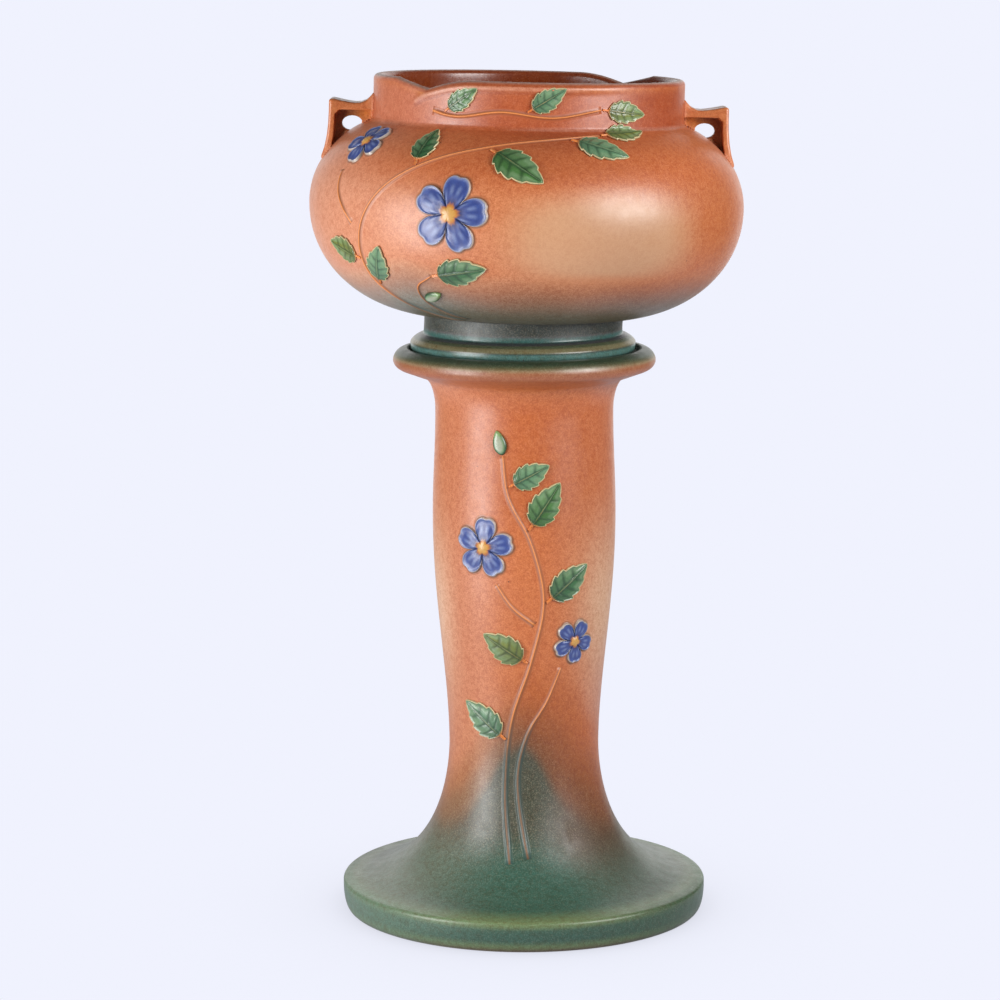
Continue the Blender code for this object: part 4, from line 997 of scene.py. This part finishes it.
def make_stem(skin, path, name, *look):
    """A raised stem with a bright crest between two thin dark lines."""
    fine = smooth_curve(path, 3)
    count = len(fine)
    places, outs = [], []
    for i, spot in enumerate(fine):
        along = direction(skin, fine[max(i - 1, 0)], fine[min(i + 1, count - 1)])
        taper = 1 - STEM_TAPER * i / (count - 1)
        end = min(1.0, (i + 0.4) / 4, (count - 0.6 - i) / 3)
        for x, out in stem_profile(STEM_WIDTH / 2 * taper):
            places.append(skin.offset(spot, along[1] * x, -along[0] * x))
            outs.append(out * taper * end if out > 0.0005 else out)
    places, j = np.array(places), np.tile(np.arange(STEM_COLUMNS), count)
    ground, fleck = skin.ground(places[:, 0], places[:, 1])
    green = 1 - smoothstep(0.12, 0.44, ground[:, 0])
    side = np.select([(j == 3) | (j == 8), (j == 2) | (j == 9)], [1.0, 0.7])
    thin = np.where((j < 6)[:, None], STEM_LINE, STEM_DARK)
    colour = mix(ground, mix(thin, STEM_TEAL, green), 0.55 * side)
    crest = mix(STEM_ORANGE, STEM_BROWN, green)
    flank = mix(crest, mix(STEM_DARK, STEM_TEAL, green), 0.6)
    top = (j >= 4) & (j <= 7)
    colour[top] = np.where(((j == 5) | (j == 6))[:, None], crest, flank)[top]
    under = [skin.single_point(spot, -STEM_DEPTH) for spot in fine]
    points = np.vstack([skin.point(places[:, 0], places[:, 1], np.array(outs)), under])
    first_under = count * STEM_COLUMNS
    faces = []
    for i in range(count - 1):
        low, high, below = i * STEM_COLUMNS, (i + 1) * STEM_COLUMNS, first_under + i
        faces += [(low + c, low + c + 1, high + c + 1, high + c) for c in range(STEM_COLUMNS - 1)]
        faces.append((low + STEM_COLUMNS - 1, below, below + 1, high + STEM_COLUMNS - 1))
        faces.append((below, low, high, below + 1))
    faces.append(tuple(range(STEM_COLUMNS))[::-1] + (first_under,))
    faces.append(tuple(range(first_under - STEM_COLUMNS, first_under)) + (first_under + count - 1,))
    pad = np.zeros(count)
    paint = {
        "Tint": np.vstack([colour, np.broadcast_to(CLAY, (count, 3))]),
        "Fleck": np.concatenate([fleck * (side == 0) * ~top, pad]),
        "Gloss": np.concatenate([STEM_MATT * top, pad]),
    }
    new_object(name, points, faces, *look, **paint)


def decorate(prefix, skin, body, materials, stems, leaves, buds, blossoms):
    """Dresses every relief node of a body, front and back."""

    def look(kind, number, slot):
        node = f"{prefix}_{side}_{kind}_{number}"
        return f"{node}_moulded", body, node, slot, materials[slot]

    for side, turn_rad in (("front", 0.0), ("back", math.pi)):
        paths = []
        for number, (steps, points) in enumerate(stems, 1):
            path = smooth_curve([skin.place(math.radians(a) + turn_rad, up) for a, up in points], steps)
            paths.append(path)
            make_stem(skin, path, *look("stem", number, "stem_orange"))
        sprigs = [("leaf", number, values) for number, values in enumerate(leaves, 1)]
        sprigs += [("bud", number, values) for number, values in enumerate(buds, 1)]
        for kind, number, (stem, share, where, heading, length, width) in sprigs:
            if kind == "leaf":
                outline, target, veins, along = leaf_shape(length * skin.upper, width * skin.upper)
                rings, gloss = leaf_rings(veins, along, LEAF_GREENS[number % len(LEAF_GREENS)]), LEAF_GLOSS
            else:
                outline, target, along = bud_shape(length * skin.upper, width * skin.upper)
                rings, gloss = bud_rings(along), BUD_GLOSS
            spot = beside(skin, paths[stem], share, where)
            shapes = turned_by(outline, heading), turned_by(target, heading)
            name, *rest = look(kind, number, f"{kind}_green")
            relief_patch(name, skin, spot, *shapes, rings, gloss, *rest)
        for number, (azimuth, up, size_share, turn_deg) in enumerate(blossoms, 1):
            size = size_share * skin.upper
            outline, heart, across = blossom_shape(size, turn_deg)
            spot = skin.place(math.radians(azimuth) + turn_rad, up)
            name, *rest = look("blossom", number, "blossom_blue")
            rings = blossom_rings(across, size)
            relief_patch(name, skin, spot, outline, heart, rings, BLOSSOM_GLOSS, *rest)


# Handles

HANDLE_VOXEL, HANDLE_WELD = 0.00055, 0.00001
HANDLE_FILLET, HANDLE_BITE, FLARE_STRENGTH = 0.0024, 0.0010, 1.6
HANDLE_TOP, WEB_HALF = 0.0176, (0.0055, 0.0095)
POCKET_DEPTH, POCKET_HALF, CREST_DEPTH = 0.014, 0.0165, 0.009


def make_handle(node, material):
    """The frame's lug, its edges softened, flared where it meets the bowl."""
    thing = linked(f"{node}_moulded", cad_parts[node].data.copy())
    thing.data.materials.clear()
    thing.modifiers.new("weld", "WELD").merge_threshold = HANDLE_WELD
    remesh = thing.modifiers.new("remesh", "REMESH")
    remesh.mode, remesh.voxel_size = "VOXEL", HANDLE_VOXEL
    soften = thing.modifiers.new("soften", "SMOOTH")
    soften.factor, soften.iterations = 0.6, 6
    evaluated = thing.evaluated_get(bpy.context.evaluated_depsgraph_get())
    final = bpy.data.meshes.new_from_object(evaluated)
    thing.modifiers.clear()
    thing.data = final
    count = len(final.vertices)
    read = np.empty((2, count * 3), np.float32)
    for label, values in zip(("co", "normal"), read):
        final.vertices.foreach_get(label, values)
    back = np.array(BOWL_PLACE.inverted())
    local = read[0].reshape(-1, 3) @ back[:3, :3].T + back[:3, 3]
    facing = read[1].reshape(-1, 3) @ back[:3, :3].T
    skin = np.array(bowl_side_outline(44, 30) + line((NECK_RADIUS, NECK_FOOT_Z), (NECK_RADIUS, RIM_Z), 30))
    azimuth = np.arctan2(local[:, 0], -local[:, 1])
    r, z = np.hypot(local[:, 0], local[:, 1]), local[:, 2]
    distances = np.linalg.norm(np.stack([r, z], 1)[:, None, :] - skin[None, :, :], axis=2)
    nearest = distances.argmin(1)
    near = distances[np.arange(count), nearest]
    tangent = np.gradient(skin, axis=0)[nearest]
    tangent /= np.linalg.norm(tangent, axis=1)[:, None]
    away = np.stack([tangent[:, 1], -tangent[:, 0]], 1)
    out = np.stack([away[:, 0] * np.sin(azimuth), -away[:, 0] * np.cos(azimuth), away[:, 1]], 1)
    sideways = facing - (facing * out).sum(1)[:, None] * out
    flare = np.clip(HANDLE_FILLET - near, 0, None) ** 2 / (2 * HANDLE_FILLET) * FLARE_STRENGTH
    moved = local + sideways * flare[:, None]
    moved -= out * (HANDLE_BITE * (1 - smoothstep(0.0003, 0.0012, near)))[:, None]
    final.vertices.foreach_set("co", placed(moved, BOWL_PLACE).astype(np.float32).ravel())
    final.update()

    across = np.abs(local[:, 1])
    beyond = np.abs(local[:, 0]) - NECK_RADIUS
    top = NECK_FOOT_Z + HANDLE_TOP
    web = 1 - smoothstep(*WEB_HALF, across)
    pool = web * smoothstep(0.012, -0.001, beyond)
    # Painted shade: the web darkens towards the hole and its outer corner.
    corner = smoothstep(0.008, 0.022, beyond + 0.5 * (z - top + 0.02))
    colour = mix(mix(TERRACOTTA, EDGE_ORANGE, 0.6), mix(WEB_BROWN, WEB_SHADE, corner), web * 0.95)
    colour = mix(colour, WEB_POOL, pool * 0.9)
    pocket_wall = smoothstep(0.2, 0.8, -facing[:, 2]) * (z > top - POCKET_DEPTH) * (across < POCKET_HALF)
    colour = mix(colour, WEB_BROWN, 0.8 * pocket_wall)
    crest = 0.75 * smoothstep(0.80, 0.99, facing[:, 2]) * (z > top - CREST_DEPTH)
    colour = mix(colour, EDGE_GREY, crest)
    ground = bowl_glaze(azimuth, z)[0]
    colour = mix(colour, ground, 0.8 * (1 - smoothstep(0.0, 0.0025, near)))
    gloss = 0.25 * (1 - web) - 1.2 * (1 - smoothstep(0.0020, 0.0060, near))
    dress(final, material, Tint=colour, Fleck=np.zeros(count), Gloss=gloss)
    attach(thing, "jardiniere")
    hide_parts(node)


# Stage, light and camera

BACKGROUND, FLOOR_COLOUR = (0.871, 0.888, 0.991), (0.38, 0.39, 0.42, 1.0)
FLOOR_HALF, FLOOR_DROP, SHADE_REACH, SHADE_TONE, FILL_LIGHT = 80.0, 0.0002, 0.22, 0.72, 0.12
MIRRORED_SPAN, MIRRORED_SHARE = (1.0, 1.8), 0.55
CAMERA_PLACE, CAMERA_PITCH_DEG = (-0.0213, -2.9815, 0.85643), 9.346
CAMERA_LENS, CAMERA_SENSOR = 123.4, 36.0
LIGHTS = (
    # name, place, what it faces, width, height, power
    ("left_box", (-0.95, -0.66, 0.46), (0.0, 0.0, 0.44), 0.56, 0.95, 14.0),
    ("right_box", (1.05, -0.79, 0.94), (0.0, -0.05, 0.50), 0.74, 0.70, 18.5),
    ("backdrop", (0.0, 1.7, 0.60), (0.0, 0.0, 0.45), 2.50, 1.80, 17.0),
)


def make_stage():
    """The camera sees the floor as background, shaded near the foot. Lamps light it for the piece alone."""
    mesh = bpy.data.meshes.new("floor")
    corners = [(x * FLOOR_HALF, y * FLOOR_HALF, 0) for x, y in ((-1, -1), (1, -1), (1, 1), (-1, 1))]
    mesh.from_pydata(corners, [], [(0, 1, 2, 3)])
    floor = linked("floor", mesh)
    floor.location.z = -FLOOR_DROP
    material = bpy.data.materials.new("floor")
    material.use_nodes = True
    material.node_tree.nodes.clear()
    add = partial(add_node, material.node_tree)
    shade = add("AmbientOcclusion", "AO", {"Distance": SHADE_REACH}, samples=8)
    tone = ranged(add, shade, 0.0, 1.0, SHADE_TONE, 1.0)
    glow = add("VectorMath", 0, {0: BACKGROUND, "Scale": tone}, operation="SCALE")
    span = add("VectorMath", "Value", {0: add("TexCoord", "Object", {})}, operation="LENGTH")
    near = ranged(add, span, *MIRRORED_SPAN, MIRRORED_SHARE, 0.0)
    glossy, seen = (add("LightPath", f"Is {kind} Ray", {}) for kind in ("Glossy", "Camera"))
    share = add("Math", 0, {0: near, 1: glossy, 2: seen}, operation="MULTIPLY_ADD")
    lit = add("BsdfDiffuse", 0, {"Color": FLOOR_COLOUR})
    surface = add("MixShader", 0, {0: share, 1: lit, 2: add("Emission", 0, {"Color": glow})})
    add("OutputMaterial", 0, {"Surface": surface})
    mesh.materials.append(material)


def make_light():
    world = bpy.data.worlds.new("studio")
    bpy.context.scene.world = world
    world.use_nodes = True
    world.node_tree.nodes.clear()
    add = partial(add_node, world.node_tree)
    plain = add("Background", 0, {"Color": (1.0, 1.0, 1.0, 1.0), "Strength": FILL_LIGHT})
    seen = add("Background", 0, {"Color": (*BACKGROUND, 1.0)})
    surface = add("MixShader", 0, {0: add("LightPath", "Is Camera Ray", {}), 1: plain, 2: seen})
    add("OutputWorld", 0, {"Surface": surface})
    for name, place, target, width, height, power in LIGHTS:
        lamp = bpy.data.lights.new(name, "AREA")
        lamp.shape, lamp.size, lamp.size_y, lamp.energy = "RECTANGLE", width, height, power
        thing = linked(name, lamp)
        thing.location = place
        thing.rotation_euler = (Vector(target) - Vector(place)).to_track_quat("-Z", "Y").to_euler()


def make_camera():
    data = bpy.data.cameras.new("camera")
    data.lens, data.sensor_width = CAMERA_LENS, CAMERA_SENSOR
    camera = linked("camera", data)
    camera.location = CAMERA_PLACE
    camera.rotation_euler = (math.radians(90 - CAMERA_PITCH_DEG), 0, 0)
    bpy.context.scene.camera = camera


GLAZES = (
    # slot, name, roughness, grain, depth of its fine bump
    ("terracotta", "bowl_glaze", 0.41, 0.34, 0.00010),
    ("pedestal_glaze", "pedestal_glaze", 0.41, 0.34, 0.00010),
    ("leaf_green", "leaf_glaze", 0.42, 0.12, 0.00008),
    ("blossom_blue", "blossom_glaze", 0.42, 0.10, 0.00008),
    ("bud_green", "bud_glaze", 0.38, 0.10, 0.00006),
    ("stem_orange", "stem_glaze", 0.42, 0.10, 0.00008),
)


def main():
    materials = {slot: glaze(*values) for slot, *values in GLAZES}
    make_pedestal(materials["pedestal_glaze"])
    make_bowl(materials["terracotta"])
    for node in ("left_handle", "right_handle"):
        make_handle(node, materials["terracotta"])
    neck = line((NECK_RADIUS, NECK_FOOT_Z + NECK_FILLET), (NECK_RADIUS, RIM_Z), 4)[1:]
    side = bowl_side_outline(60, 90) + neck
    belly = Skin(side, BELLY_Z, BOWL_PLACE, lambda azimuth, height, radius: bowl_glaze(azimuth, height))
    sprigs = BOWL_STEMS, BOWL_LEAVES, BOWL_BUDS, BOWL_BLOSSOMS
    decorate("bowl", belly, "jardiniere", materials, *sprigs)
    shaft = Skin(shaft_outline(90, 90, 30), NARROW_Z, Matrix.Identity(4), pedestal_glaze)
    sprigs = PEDESTAL_STEMS, PEDESTAL_LEAVES, PEDESTAL_BUDS, PEDESTAL_BLOSSOMS
    decorate("pedestal", shaft, "pedestal", materials, *sprigs)
    make_stage()
    make_light()
    make_camera()
    bpy.context.scene.view_settings.view_transform = "Standard"


main()
